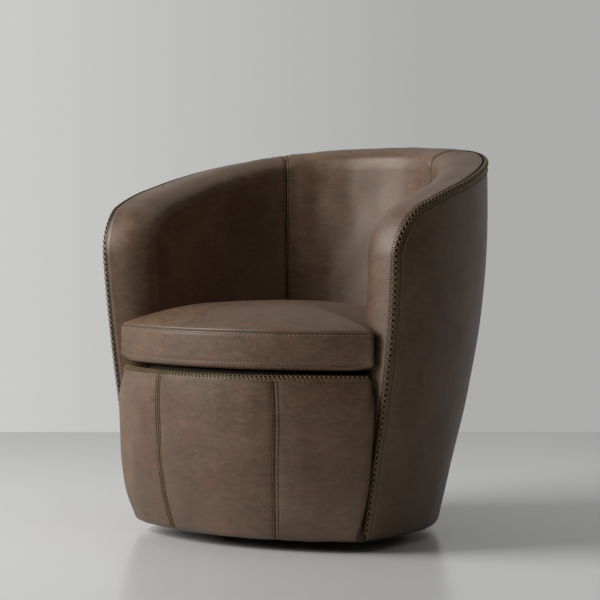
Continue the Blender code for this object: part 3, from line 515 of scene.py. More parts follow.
def side_panel(stations, section, corner, grid_low, depth_of):
    """The strip along one arm's edge and rim, and the plain leather below it."""
    points, facts = edge_strip(stations, section)
    rows = len(section(0.0))
    faces = grid_faces(len(stations), rows)
    first = next(i for i, station in enumerate(stations) if station[1] >= grid_low)
    left = [i * rows + rows - 1 for i in range(first, corner + 1)]
    top = [i * rows + rows - 1 for i in range(corner, len(stations))]
    left_facts = [facts[i] for i in left]
    top_facts = [facts[i] for i in top]
    low, high, end = left_facts[0][1], top_facts[-1][1], top_facts[-1][0]
    rising = shares_of([fact[1] for fact in left_facts])
    going = shares_of([fact[0] for fact in top_facts])
    join = len(top) - len(seam_steps)
    foot_angles = [
        left_facts[0][0] + (top_facts[join][0] - left_facts[0][0]) * j / join if j < join else top_facts[j][0]
        for j in range(len(top))
    ]
    last = len(left) - 1
    grid = {(i, 0): index for i, index in enumerate(left)}
    grid.update({(last, j): index for j, index in enumerate(top)})
    for i, v in enumerate(rising[:-1]):
        side = Vector(left_facts[i][:2])
        far = Vector((end, low + (high - low) * (v + (i / last - v) * evenness)))
        for j in range(1, len(top)):
            u = going[j]
            foot = Vector((foot_angles[j], low))
            head = Vector(top_facts[j][:2])
            corners = (
                Vector(left_facts[0][:2]) * ((1 - u) * (1 - v)) + Vector((end, low)) * (u * (1 - v))
                + Vector(left_facts[-1][:2]) * ((1 - u) * v) + Vector((end, high)) * (u * v)
            )
            flat = side * (1 - u) + far * u + foot * (1 - v) + head * v - corners
            grid[i, j] = len(points)
            points.append(barrel_point(flat.x, flat.y, depth_of(flat.x, flat.y)))
            facts.append((flat.x, flat.y, plain_reach))
    faces += [
        (grid[i, j], grid[i, j + 1], grid[i + 1, j + 1], grid[i + 1, j])
        for i in range(last) for j in range(len(top) - 1)
    ]
    return points, faces, facts


def mirrored_panel(points, faces, facts):
    points = [Vector((-point.x, point.y, point.z)) for point in points]
    facts = [(2 * math.pi - angle, height, reach) for angle, height, reach in facts]
    return points, [tuple(reversed(face)) for face in faces], facts


# %% A back panel
back_step = 0.008


def back_panel(stations, section, low, depth_of):
    """The strip along the back of the rim, and the plain leather below it."""
    strip, strip_facts = edge_strip(stations, section)
    rows = len(section(0.0))
    levels = round((strip_facts[rows - 1][1] - low) / back_step)
    points, facts = [], []
    for start in range(0, len(strip), rows):
        points += strip[start:start + rows]
        facts += strip_facts[start:start + rows]
        angle, height, _ = facts[-1]
        for k in range(1, levels + 1):
            down = height + (low - height) * k / levels
            points.append(barrel_point(angle, down, depth_of(angle, down)))
            facts.append((angle, down, plain_reach))
    return points, grid_faces(len(stations), rows + levels), facts


# %% Dress one skin
# Keeps each point's share of painted shade, the darkening in seams, grooves and hems.
def paint_seam_shade(piece, nearness):
    attribute = piece.data.attributes.new("painted_seam_shade", "FLOAT", "POINT")
    attribute.data.foreach_set("value", np.asarray(nearness, np.float32))


def dress_skin(name, points, faces, outward, reliefs, nodes):
    """A leather cover: each relief is how far a point is lifted and how much painted shade it gets near a
    seam.
    """
    piece = new_piece(name, points, faces, brown_leather)
    turn_outward(piece, *outward)
    lift(piece, [amount for amount, _ in reliefs])
    paint_seam_shade(piece, [near for _, near in reliefs])
    give_wall(piece)
    ride_as(piece, "chair", "brown_leather", *nodes)
    return piece


sides = {
    "right": (math.pi / 2, Vector((1, 0, 0))),
    "left": (math.pi * 1.5, Vector((-1, 0, 0))),
    "back": (math.pi, Vector((0, 1, 0))),
}
print("panels:", ", ".join(sides))

# %% [markdown]
# ## Outside leather
# Three panels cover the outside, joined by two upright seams behind the arms. Each panel's edge is
# turned in at the seams, under the lacing at the top and under the frame at the foot, so the skin's
# outline rolls over instead of ending in a cut edge.

# %% The outside panels' points
outer_rows = (
    (0.0004, 0.0044), (0.0008, 0.0028), (0.0016, 0.0014), (0.0028, 0.0005), (0.0042, 0.0001),
    *((reach, 0.0) for reach in (
        0.0054, 0.0066, 0.0077, 0.0088, 0.0099, 0.0108, 0.0115, 0.0121, 0.0127, 0.0136, 0.0150, 0.0165,
        0.0185, 0.0215, 0.0255, 0.030, 0.035, 0.040,
    )),
)


def outer_section(height):
    return outer_rows


def at_face(angle, height):
    return 0.0


seam_edge = 0.018 / girth_at(panel_angle, middle_height)
side_stations = front_stations(cover_bottom)
shoulder = len(side_stations)
side_stations += [station for station in rim_stations(panel_angle) if station[0] < panel_angle - seam_edge]
side_stations += reversed(beside_seam(-1))
back_half = beside_seam(1)
back_half += [station for station in rim_stations(math.pi) if station[0] > panel_angle + seam_edge]
back_rim = back_half + [mirrored(station) for station in reversed(back_half[:-1])]
right_outer = side_panel(side_stations, outer_section, shoulder, cover_bottom, at_face)
outer_panels = {
    "right": right_outer,
    "left": mirrored_panel(*right_outer),
    "back": back_panel(back_rim, outer_section, cover_bottom, at_face),
}
print("points of a side panel:", len(right_outer[0]))

# %% Press the outside seams
groove_reach = 0.0121
topstitch_reach = 0.0152
edge_ridges = (
    (0.0085, 0.0024, 0.0011), (groove_reach, 0.0009, -0.0013), (0.0136, 0.0008, 0.0005),
    (topstitch_reach, 0.0008, -0.0005),
)
hem_ridge = (0.0, 0.004, -0.0035)
outer_test_height = 0.4


def panel_seam_distance(angle, height):
    """Metres from the nearest upright seam."""
    return abs(from_front(angle) - panel_angle) * girth_at(from_front(angle), height)


def outer_relief(angle, height, reach):
    """How far the outside leather stands proud or pulls in, and how much painted shade it gets in seams,
    grooves and at the foot.
    """
    upright = panel_seam_distance(angle, height)
    foot = height - cover_bottom
    pressed = seam_relief(upright) + ridges(reach, edge_ridges) + ridge(foot, *hem_ridge)
    uneven = noise.noise(Vector((angle * 5, height * 9, 0.3))) * 0.0012
    waver = uneven * ease(upright / 0.03) * ease(reach / 0.03)
    # painted shade in the upright joint, under the laced edge, in its groove and along the foot
    near = max(ridge(upright, 0.0, 0.0016, 1.0), ridge(reach, 0.0, 0.0052, 1.0, 4),
               ridge(reach, groove_reach, 0.0010, 0.9), ridge(foot, 0.0, 0.010, 0.7))
    return pressed + waver - 0.0004, near


for side, (points, faces, facts) in outer_panels.items():
    middle, out = sides[side]
    dress_skin(f"outer_leather_{side}", points, faces, (barrel_point(middle, outer_test_height), out),
               [outer_relief(*fact) for fact in facts], [f"outer_cover_{side}"])

# %% [markdown]
# ## Inside leather
# The inside covers start at the same seam, roll over the padded rim and run down to the seat. The roll
# is a quarter of one oval outside its crest and a quarter of another inside it. It is fat at the arms and
# thinner at the back, and the seat's foam fills it, so the leather is tight with small puckers beside
# the upright seams.

# %% The roll and the inside panels' points
edge_lap = 0.0033
edge_inset = 0.0016
roll_end = 0.030
crest = arm_thickness * 0.46
inner_low = 0.305
outer_turns = [math.radians(turn) for turn in (0, 4, 8, 13, 18, 24, 31, 39, 48, 58, 69, 80, 90)]
inner_turns = [math.radians(turn) for turn in range(10, 91, 10)]


def roll_bulge(height):
    bulge = 0.005 + 0.002 * ease((height - apron_top) / (arm_height - apron_top - knee_radius))
    return bulge - 0.004 * ease((height - arm_height + knee_radius) / (2 * knee_radius))


def inner_section(height):
    bulge = roll_bulge(height)
    section = [(-0.0005, 0.0050), (-0.0009, 0.0034), (-0.0019, 0.0021)]
    for lean in outer_turns:
        section.append((-edge_lap - bulge * math.sin(lean), crest - (crest - edge_inset) * math.cos(lean)))
    for lean in inner_turns:
        reach = -edge_lap - bulge + (roll_end + edge_lap + bulge) * (1 - math.cos(lean))
        section.append((reach, crest + (arm_thickness - crest) * math.sin(lean)))
    return section


def roll_way(height):
    """Metres along the roll from the seam, for each row of the strip."""
    section = inner_section(height)
    ways = [0.0]
    for (reach, depth), (next_reach, next_depth) in zip(section, section[1:]):
        ways.append(ways[-1] + math.hypot(next_reach - reach, next_depth - depth))
    return ways


right_inner = side_panel(side_stations, inner_section, shoulder, inner_low, padding)
inner_panels = {
    "right": (right_inner, ["inner_cover_right"]),
    "left": (mirrored_panel(*right_inner), ["inner_cover_left"]),
    "back": (back_panel(back_rim, inner_section, inner_low, padding), ["inner_cover_back", "barrel_foam"]),
}
print("length of the roll at an arm:", round(roll_way(arm_height)[-1], 4))

# %% Press the inside seams
roll_ridges = ((0.0120, 0.0018, -0.0012), (0.0165, 0.0030, 0.0006))
inner_test_height = 0.45
highest_girth = 0.7
plain_way = 0.2


def inner_relief(angle, height, way):
    """The same for the inside leather; way is the distance along the roll from the laced seam."""
    upright = panel_seam_distance(angle, min(height, highest_girth))
    full = 0.0035 * ease(upright / 0.07) * ease((height - seat_height) / 0.10) * ease((way - 0.08) / 0.1)
    pressed = seam_relief(upright) + ridges(way, roll_ridges)
    crease = noise.noise(Vector((angle * 60, height * 8, way * 20)))
    pucker = crease * ridge(upright, 0.03, 0.035, 0.0024) * ridge(way, 0.050, 0.030, 1.0)
    waver = noise.noise(Vector((angle * 7, height * 12, way * 3))) * 0.0016
    # painted shade in the upright joint and on the roll's lip beside the lacing
    near = max(ridge(upright, 0.0, 0.0016, 1.0), ridge(way, 0.0, 0.0125, 1.0, 6))
    return pressed + full + pucker + waver * ease(way / 0.05) - 0.0006, near


def inner_reliefs(facts, stations, stride):
    """Strip points have their own way along the roll; the plain leather below has one for all."""
    strip_rows = len(inner_section(0.0))
    found = []
    for index, (angle, height, _) in enumerate(facts):
        row = index % stride if index < len(stations) * stride else strip_rows
        found.append(inner_relief(angle, height, roll_way(height)[row] if row < strip_rows else plain_way))
    return found


for side, ((points, faces, facts), nodes) in inner_panels.items():
    middle, out = sides[side]
    stations = back_rim if side == "back" else side_stations
    stride = len(facts) // len(stations) if side == "back" else len(inner_section(0.0))
    place = barrel_point(middle, inner_test_height, padding(middle, inner_test_height))
    piece = dress_skin(f"inner_leather_{side}", points, faces, (place, -out),
                       inner_reliefs(facts, stations, stride), nodes)

# %% [markdown]
# ## Thread and lacing
# Stitches repeat along lines, so Geometry Nodes sew them: one tree takes a line of points, each with an
# attribute that says which way is across it, spaces them evenly and puts a small shape on each, turned
# to the line. The shapes are a dash of thread, a crossed pair for the lacing and a punched hole, each of
# a few dozen faces; the holes are near-black, painted shade. One tree serves every seam of the chair.

# %% The sewing tree
def sewing_tree():
    tree = bpy.data.node_groups.new("sew_along", "GeometryNodeTree")
    kinds = {"Geometry": "Geometry", "Shape": "Object", "Pitch": "Float", "Half Width": "Float",
             "Wobble": "Float", "Seed": "Int", "Finish": "Material"}
    sockets = {}
    for title, kind in kinds.items():
        socket = tree.interface.new_socket(title, in_out="INPUT", socket_type=f"NodeSocket{kind}")
        sockets[title] = socket.identifier
    tree.interface.new_socket("Geometry", in_out="OUTPUT", socket_type="NodeSocketGeometry")
    given = tree.nodes.new("NodeGroupInput").outputs
    line = add_node(tree, "GeometryNodeMeshToCurve", Mesh=given["Geometry"]).outputs[0]
    line = add_node(tree, "GeometryNodeResampleCurve", mode="LENGTH", Curve=line,
                    Length=given["Pitch"]).outputs[0]
    across = add_node(tree, "GeometryNodeInputNamedAttribute", data_type="FLOAT_VECTOR", Name="across")
    across = across.outputs["Attribute"]
    tangent = add_node(tree, "GeometryNodeInputTangent").outputs[0]
    turn = add_node(tree, "FunctionNodeAxesToRotation", primary_axis="X", secondary_axis="Y",
                    Primary_Axis=tangent, Secondary_Axis=across).outputs[0]
    least = times(tree, given["Wobble"], -1.0)
    chance = add_node(tree, "FunctionNodeRandomValue", data_type="FLOAT", _2=least, _3=given["Wobble"],
                      Seed=given["Seed"])
    sway = add_node(tree, "ShaderNodeCombineXYZ", Z=chance.outputs[1]).outputs[0]
    sway = add_node(tree, "FunctionNodeEulerToRotation", Euler=sway).outputs[0]
    turn = add_node(tree, "FunctionNodeRotateRotation", rotation_space="LOCAL", Rotation=turn,
                    Rotate_By=sway).outputs[0]
    span = add_node(tree, "ShaderNodeVectorMath", operation="LENGTH", _0=across).outputs["Value"]
    width = sum_of(tree, span, given["Half Width"], "DIVIDE")
    size = add_node(tree, "ShaderNodeCombineXYZ", X=1.0, Y=width, Z=1.0).outputs[0]
    shape = add_node(tree, "GeometryNodeObjectInfo", Object=given["Shape"]).outputs["Geometry"]
    sewn = add_node(tree, "GeometryNodeInstanceOnPoints", Points=line, Instance=shape, Rotation=turn,
                    Scale=size).outputs[0]
    sewn = add_node(tree, "GeometryNodeRealizeInstances", Geometry=sewn).outputs[0]
    sewn = add_node(tree, "GeometryNodeSetMaterial", Geometry=sewn, Material=given["Finish"]).outputs[0]
    tree.links.new(sewn, tree.nodes.new("NodeGroupOutput").inputs[0])
    return tree, sockets


sewing, sewing_sockets = sewing_tree()
print("sewing inputs:", ", ".join(sewing_sockets))


# %% Sew along a line
def sew(name, rows, shape, pitch, finish, half_span=1.0, wobble=0.03, body="chair", closed=False):
    """rows holds a point and its way across for each place along the line."""
    count = len(rows)
    edges = [(k, (k + 1) % count) for k in range(count if closed else count - 1)]
    mesh = bpy.data.meshes.new(name)
    mesh.from_pydata([tuple(point) for point, _ in rows], edges, [])
    across = mesh.attributes.new("across", "FLOAT_VECTOR", "POINT")
    across.data.foreach_set("vector", [part for _, way in rows for part in way])
    piece = in_scene(name, mesh)
    work = piece.modifiers.new("sewing", "NODES")
    work.node_group = sewing
    given = {"Shape": shape, "Pitch": pitch, "Half Width": half_span, "Wobble": wobble, "Seed": len(name),
             "Finish": finish}
    for title, value in given.items():
        work[sewing_sockets[title]] = value
    piece.data = applied(piece)
    piece.data.shade_smooth()
    ride_as(piece, body, "brown_leather" if finish == painted_hole_shade else "lacing_thread")
    return piece


def laid(points, ways, rise):
    """Rows for sew, each point raised off the leather along the line's own normal."""
    rows = []
    for index, (point, way) in enumerate(zip(points, ways)):
        before, after = points[max(index - 1, 0)], points[min(index + 1, len(points) - 1)]
        normal = (after - before).cross(way).normalized()
        rows.append((point + normal * rise, way))
    return rows


def stitched_row(name, holes_name, rows):
    """A row of slanted stitches in its punched holes."""
    sew(name, rows, slant_dash, stitch_pitch, seam_thread)
    # the holes get a near-black finish: painted shade inside the punched holes
    sew(holes_name, rows, stitch_hole, stitch_pitch, painted_hole_shade, wobble=0.0)


# %% Tubes of thread
tube_sides = 6
tube_end = 0.6
thread_shares = (0.0, 0.12, 0.3, 0.5, 0.7, 0.88, 1.0)


def add_tube(shape, path, radius):
    """A closed tube along a path, thinner at its two ends."""
    rings = []
    for index, point in enumerate(path):
        before, after = path[max(index - 1, 0)], path[min(index + 1, len(path) - 1)]
        along = (Vector(after) - Vector(before)).normalized()
        side = along.cross(Vector((0, 0, 1))).normalized()
        up = side.cross(along)
        full = radius * (tube_end if index in (0, len(path) - 1) else 1.0)
        rings.append([
            shape.verts.new(Vector(point) + (side * math.cos(a) + up * math.sin(a)) * full)
            for a in (2 * math.pi * k / tube_sides for k in range(tube_sides))
        ])
    for ring, following in zip(rings, rings[1:]):
        for k in range(tube_sides):
            after = (k + 1) % tube_sides
            shape.faces.new((ring[k], ring[after], following[after], following[k]))
    shape.faces.new(tuple(reversed(rings[0])))
    shape.faces.new(tuple(rings[-1]))


def small_shape(name, paths, radius):
    shape = bmesh.new()
    for path in paths:
        add_tube(shape, path, radius)
    bmesh.ops.recalc_face_normals(shape, faces=shape.faces)
    mesh = bpy.data.meshes.new(name)
    shape.to_mesh(mesh)
    shape.free()
    return bpy.data.objects.new(name, mesh)


# %% The small shapes
lace_pitch = 0.0113
lace_half = 0.0046
lace_radius = 0.00072
net_pitch = 0.0092
net_radius = 0.0005
stitch_pitch = 0.0095
hole_sunk = 0.0004


def dash(name, length, radius, slant=0.0):
    """A dash of thread that rises out of one hole and dives into the next."""
    path = [
        (length * (share - 0.5), slant * (2 * share - 1), radius * (1.1 - 2.6 * abs(2 * share - 1) ** 3))
        for share in thread_shares
    ]
    return small_shape(name, [path], radius)


def strand(lean, rise, pitch=lace_pitch):
    """One of the two crossed threads of a lacing."""
    return [
        (pitch * (share - 0.5), lean * lace_half * (2 * share - 1),
         rise * (1 - abs(2 * share - 1) ** 2.5) - hole_sunk)
        for share in thread_shares
    ]


def holes(name, pitch, radius, sides):
    """Punched holes half way between two stitches."""
    steps = ((-1.5, -hole_sunk), (-0.75, 0.0), (0.75, 0.0), (1.5, -hole_sunk))
    paths = [
        [(pitch / 2 + along * radius, side * lace_half, rise) for along, rise in steps] for side in sides
    ]
    return small_shape(name, paths, radius)


cross_shape = small_shape("cross", [strand(1, 0.0030), strand(-1, 0.0014)], lace_radius)
net_shape = small_shape("net", [strand(1, 0.0020, net_pitch), strand(-1, 0.0013, net_pitch)], net_radius)
hole_shape = holes("hole", lace_pitch, 0.0014, (-0.78, 0.78))
net_hole_shape = holes("net_hole", net_pitch, 0.0013, (-0.5, 0.5))
stitch_hole = holes("stitch_hole", stitch_pitch, 0.00085, (0,))
slant_dash = dash("slant_dash", 0.0052, 0.00080, 0.0006)
punch_dash = dash("punch_dash", 0.0022, 0.00085, 0.0017)
long_dash = dash("long_dash", 0.0052, 0.00060)
fine_dash = dash("fine_dash", 0.0050, 0.00075)
scallop = small_shape("scallop", [[
    (net_pitch * (share - 0.5), 0.0018 * (1 - (2 * share - 1) ** 2), 0.0003)
    for share in (0, 0.2, 0.4, 0.6, 0.8, 1)
]], net_radius)
print("faces of a cross:", len(cross_shape.data.polygons), "of a dash:", len(slant_dash.data.polygons))


# %% Thread finishes
def thread_finish(name, dark, light, roughness, shine=0.5, scale=900.0, detail=3.0, bump=0.0):
    """Fuzzy thread from a dark to a light colour, both as read on screen."""
    material, tree, shader = make_finish(name, roughness)
    shader.inputs["Specular IOR Level"].default_value = shine
    fuzz = noise_of(tree, object_place(tree), scale, detail)
    feed(tree, shader, Base_Color=ramp(tree, fuzz, (0.3, from_srgb(*dark)), (0.7, from_srgb(*light))))
    if bump:
        feed(tree, shader, Normal=bumped(tree, fuzz, bump, 0.0003))
    return material


khaki_thread = thread_finish("khaki_thread", (130, 106, 66), (170, 145, 100), 0.62, bump=0.4)
seam_thread = thread_finish("seam_thread", (92, 77, 50), (132, 115, 78), 0.9, 0.15)
# painted shade: a near-black finish that stands in for the shadow inside punched holes
painted_hole_shade = thread_finish("painted_hole_shadow", (12, 9, 6), (26, 20, 15), 0.9, 0.0, 500.0, 2.0)
print("thread finishes made")

# %% [markdown]
# ## Sewing the barrel
# The lacing crosses the edge seam from a hole in the outside leather to one in the roll. Beside it run a
# fine khaki row on the outside leather and a row of near-black dashes, painted shade of punched holes, on the
# roll's lip. The upright seams have a row on each side.

# %% Places on the outside and on the roll
def outer_at(station, reach):
    angle, height, along, up = station
    return barrel_point(angle + reach * along / edge_girth(height), height + reach * up)


def roll_at(station, way):
    """A point of the roll at a distance from the seam along the leather."""
    angle, height, along, up = station
    ways, section = roll_way(height), inner_section(height)
    index = next(k for k in range(len(ways) - 1) if ways[k + 1] >= way)
    part = (way - ways[index]) / (ways[index + 1] - ways[index])
    reach = section[index][0] + (section[index + 1][0] - section[index][0]) * part
    depth = section[index][1] + (section[index + 1][1] - section[index][1]) * part
    return barrel_point(angle + reach * along / edge_girth(height), height + reach * up, depth)


def whole_round(place_of, across_of, spared=3):
    """Points and ways for both halves of the edge, the left half mirrored, clear of the turned hem."""
    points = [place_of(station) for station in half_edge[spared:]]
    ways = [across_of(station) for station in half_edge[spared:]]
    flip = Vector((-1, 1, 1))
    points += [point * flip for point in reversed(points[:-1])]
    ways += [way * flip for way in reversed(ways[:-1])]
    return points, ways


def row_beside(place_at, way, step):
    """Points and ways for a row at a distance from the seam; step is how far on across is measured."""
    return whole_round(
        lambda station: place_at(station, way),
        lambda station: (place_at(station, way + step) - place_at(station, way - step)).normalized(),
    )


print("the roll's top at an arm:", [round(v, 3) for v in roll_at(half_edge[-1], lace_half)])

# %% The lacing and its rows
roll_reach = lace_half + 0.003
lace_rise = 0.0012


def lace_middle(station):
    return (outer_at(station, lace_half) + roll_at(station, roll_reach)) / 2


def lace_across(station):
    return (roll_at(station, roll_reach) - outer_at(station, lace_half)) / 2


points, ways = whole_round(lace_middle, lace_across)
sew("rim_lacing", laid(points, ways, lace_rise), cross_shape, lace_pitch, khaki_thread, lace_half)
# near-black holes beside the lacing: painted shade
sew("rim_lacing_holes", laid(points, ways, 0.0003), hole_shape, lace_pitch, painted_hole_shade, lace_half, 0.0)
points, ways = row_beside(outer_at, topstitch_reach, -0.0005)
sew("rim_topstitch", laid(points, ways, -0.0001), fine_dash, 0.0062, khaki_thread)
points, ways = row_beside(roll_at, 0.0118, 0.0005)
# dark dashes on the roll's lip: painted shade of punched holes
sew("roll_punches", laid(points, ways, -0.0013), punch_dash, lace_pitch / 2, painted_hole_shade)

# %% The upright seams' stitches
back_stitch_rise = -0.0018
outer_stitch_rise = -0.0013


def inside_line(angle):
    """Places down the inside of the back at an angle, from beside the lacing to behind the cushion."""
    station = (angle, rim_height(angle), 0.0, -1.0)
    length = roll_way(station[1])[-1]
    points = [roll_at(station, 0.017 + (length - 0.018) * k / 24) for k in range(25)]
    start = station[1] - roll_end
    for k in range(1, 60):
        height = start + (inner_low + 0.03 - start) * k / 59
        points.append(barrel_point(angle, height, padding(angle, height)))
    return points


def outside_line(angle):
    start = rim_height(angle) - 0.020
    low = cover_bottom + 0.020
    return [barrel_point(angle, start + (low - start) * k / 90) for k in range(91)]


seam_girth = girth_at(panel_angle, 0.6)
for side in (-1, 1):
    for row in (-1, 1):
        angle = panel_angle + row * stitch_reach / seam_girth
        angle = angle if side > 0 else 2 * math.pi - angle
        across = Vector((math.cos(angle), math.sin(angle), 0))
        name = ("right" if side > 0 else "left") + ("_outer" if row * side > 0 else "_inner")
        points = inside_line(angle)
        stitched_row(f"back_seam_{name}", f"back_holes_{name}",
                     laid(points, [-across] * len(points), back_stitch_rise))
        points = outside_line(angle)
        stitched_row(f"outer_seam_{name}", f"outer_holes_{name}",
                     laid(points, [across] * len(points), outer_stitch_rise))

# %% [markdown]
# ## The front panel
# Under the seat a board is padded and covered with leather in three parts. Its plan is a flat arc, and it
# narrows a little towards the floor with the barrel. The edges roll over a small radius.

# %% The apron's arc
apron_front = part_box("apron_cover_middle")[0][1]
arm_front = barrel_point(arm_angle, apron_top)
apron_half_width = arm_front.x - 0.032
apron_sagitta = arm_front.y - 0.006 - apron_front
apron_radius = (apron_half_width ** 2 + apron_sagitta ** 2) / (2 * apron_sagitta)
apron_turn = math.asin(apron_half_width / apron_radius)
apron_seam_turn = math.asin(0.140 / apron_radius)
apron_roll = 0.012
apron_heights = (0.0, 0.20, 0.40, 0.60, 0.80, 0.93, 1.0)
front_shares = (0.881, 0.939, 0.976, 0.989, 0.998, 1.0, 0.998)
breadth_shares = (0.898, 0.964, 1.002, 1.021, 1.032, 1.015, 1.0)
bow_shares = (0.671, 0.761, 0.858, 0.904, 0.948, 0.975, 0.985)


def apron_point(turn, height, depth=0.0):
    """A point of the panel at a turn round its arc, moved back by a depth."""
    part = (height - cover_bottom) / (apron_top - cover_bottom)
    kinds = (front_shares, breadth_shares, bow_shares)
    front, width, bow = (through_shares(part, apron_heights, shares) for shares in kinds)
    out = Vector((math.sin(turn) * bow, -math.cos(turn) * width)).normalized()
    back = apron_radius * (1 - math.cos(turn)) * bow - (centre_y - apron_front) * front
    flat = Vector((apron_radius * math.sin(turn) * width, centre_y + back)) - out * depth
    return Vector((flat.x, flat.y, height))


def rolled_back(distance):
    """How far the leather has rolled back at a distance from the panel's edge."""
    if distance >= apron_roll:
        return 0.0
    lack = apron_roll - max(distance, 0.0)
    return apron_roll - math.sqrt(apron_roll ** 2 - lack ** 2)


def from_hem(height):
    return min(height - cover_bottom, apron_top - height)


print("apron radius", round(apron_radius, 4), "turn", round(math.degrees(apron_turn), 2))

# %% The apron's leather
apron_lace_drop = 0.0092
turn_step = 0.006 / apron_radius
height_step = 0.0055
apron_test_height = 0.2


def close_steps(start, end, step):
    """Places from start to end, closer together near both."""
    count = max(round((end - start) / step), 8)
    return [start + (end - start) * (1 - math.cos(math.pi * k / count)) / 2 for k in range(count + 1)]


def apron_relief(turn, height):
    seam = abs(abs(turn) - apron_seam_turn) * apron_radius
    full = 0.0030 * ease(seam / 0.06) * ease((height - cover_bottom) / 0.08)
    full *= ease((apron_top - height) / 0.07)
    waver = noise.noise(Vector((turn * 9, height * 14, 4.0))) * 0.0010
    edge = min(from_hem(height), (apron_turn - abs(turn)) * apron_radius)
    # painted shade at the seams, the rolled edges and the band under the lacing
    near = max(ridge(seam, 0.0, 0.002, 0.35), ridge(edge, 0.0, 0.006, 0.6),
               ridge(apron_top - height, 0.0, apron_lace_drop, 1.0, 6))
    return seam_relief(seam, apron_joint_depth) + full + waver - 0.0006, near


def apron_panel(name, start, end, nodes):
    turns = close_steps(start, end, turn_step)
    heights = close_steps(cover_bottom, apron_top, height_step)
    facts = [(turn, height) for turn in turns for height in heights]
    points = []
    for turn, height in facts:
        back = rolled_back((apron_turn - abs(turn)) * apron_radius) + rolled_back(from_hem(height))
        points.append(apron_point(turn, height, min(back, apron_roll)))
    outward = apron_point((start + end) / 2, apron_test_height), Vector((0, -1, 0))
    piece = dress_skin(name, points, grid_faces(len(turns), len(heights)), outward,
                       [apron_relief(*fact) for fact in facts], nodes)


apron_gap = seam_steps[0] / apron_radius
near_seam, past_seam = apron_seam_turn - apron_gap, apron_seam_turn + apron_gap
apron_panel("apron_leather_left", -apron_turn, -past_seam, ["apron_cover_left"])
apron_panel("apron_leather_middle", -near_seam, near_seam, ["apron_cover_middle", "apron_pad"])
apron_panel("apron_leather_right", past_seam, apron_turn, ["apron_cover_right"])

# %% [markdown]
# ## Sewing the front panel
# The panel's top edge is laced to the seat's front with the same crossed thread, one cross beside the
# next, and its two upright seams carry a double row of dark stitches.

# %% The apron's lacing and rows
apron_reach = apron_turn - 0.010 / apron_radius
lace_turns = [-apron_reach + 2 * apron_reach * k / 160 for k in range(161)]


def apron_line(drop):
    """Points on the rolled top edge, some way below it."""
    return [apron_point(turn, apron_top - drop, rolled_back(drop)) for turn in lace_turns]


low_line = apron_line(apron_lace_drop)
high_line = apron_line(0.0006)
middles = [(low + high) / 2 for low, high in zip(low_line, high_line)]
ways = [(high - low) / 2 for low, high in zip(low_line, high_line)]
piece = sew("apron_lacing", laid(middles, ways, lace_rise), net_shape, net_pitch, khaki_thread, lace_half)
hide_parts("apron_bead")
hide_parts("rim_bead")
# near-black holes in the net: painted shade
sew("apron_lacing_holes", laid(middles, ways, 0.0009), net_hole_shape, net_pitch, painted_hole_shade, lace_half, 0.0)
foot_line = apron_line(0.0112)
ways = [(low - foot).normalized() for low, foot in zip(low_line, foot_line)]
sew("apron_scallops", laid(foot_line, ways, 0.0004), scallop, net_pitch, khaki_thread)
heights = [cover_bottom + 0.010 + (apron_top - cover_bottom - 0.028) * k / 60 for k in range(61)]
for side, side_name in ((-1, "left"), (1, "right")):
    for row, row_name in ((-1, "a"), (1, "b")):
        turn = side * apron_seam_turn + row * stitch_reach / apron_radius
        points = [apron_point(turn, height, rolled_back(from_hem(height))) for height in heights]
        rows = laid(points, [Vector((-1, 0, 0))] * len(points), back_stitch_rise)
        name = f"apron_stitch_{side_name}_{row_name}"
        stitched_row(name, f"{name}_holes", rows)

# %% [markdown]
# ## The loose cushion
# A foam core in a leather case: a crowned top, an upright boxing and a flat bottom. The whole body is
# first blown up as cloth, pinned along its two seams, so the crown is soft and the boxing bellies between
# them. A finely rowed skin is then laid on that body, because the lapped seam is only a few millimetres
# wide and a remeshed body can't hold it. Its outline follows the barrel's inside leather round the back
# and the arms, with a small gap, and bows out over the front panel.

# %% The cushion's sizes
cushion_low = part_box("cushion_bottom")[0][2]
cushion_seam = cushion_low + 0.077
cushion_top_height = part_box("cushion_top")[1][2]
crown = cushion_top_height - cushion_seam
crown_middle = centre_y - 0.100
clearance = 0.0048
wing_half = arm_front.x - 0.021
wing_front = arm_front.y - 0.0165
wing_round = 0.018
wing_depth = 0.014
front_bow = wing_front - cad_bounds[0][1] - 0.015 - 0.0005
around = 300
print("cushion from", round(cushion_low, 4), "to", round(cushion_top_height, 4))


# %% The cushion's outline, from above
def right_half(height):
    """The front's bow, a wing's tip, the way round the arm's roll and the curve along the inside leather."""
    straight = wing_half - wing_round
    half = [
        Vector((x, wing_front - front_bow * (1 - (x / straight) ** 2)))
        for x in (straight * k / 60 for k in range(60))
    ]
    for lean in (math.radians(130) * k / 13 for k in range(14)):
        tip = straight + wing_round * math.sin(lean)
        half.append(Vector((tip, wing_front + wing_depth * (1 - math.cos(lean)) / 2)))
    girth = edge_girth(height)
    bulge = roll_bulge(height)
    for lean in (math.radians(90) * k / 13 for k in range(14)):
        depth = crest + (arm_thickness - crest) * math.sin(lean) + clearance * math.sin(lean)
        reach = -edge_lap - bulge + (roll_end + edge_lap + bulge) * (1 - math.cos(lean))
        reach -= clearance * (1 + math.cos(lean)) / 2
        half.append(barrel_point(arm_angle + reach / girth, height, depth).xy)
    start = arm_angle + roll_end / girth
    for angle in (start + (math.pi - start) * k / 120 for k in range(1, 121)):
        half.append(barrel_point(angle, height, padding(angle, height) + clearance).xy)
    return half


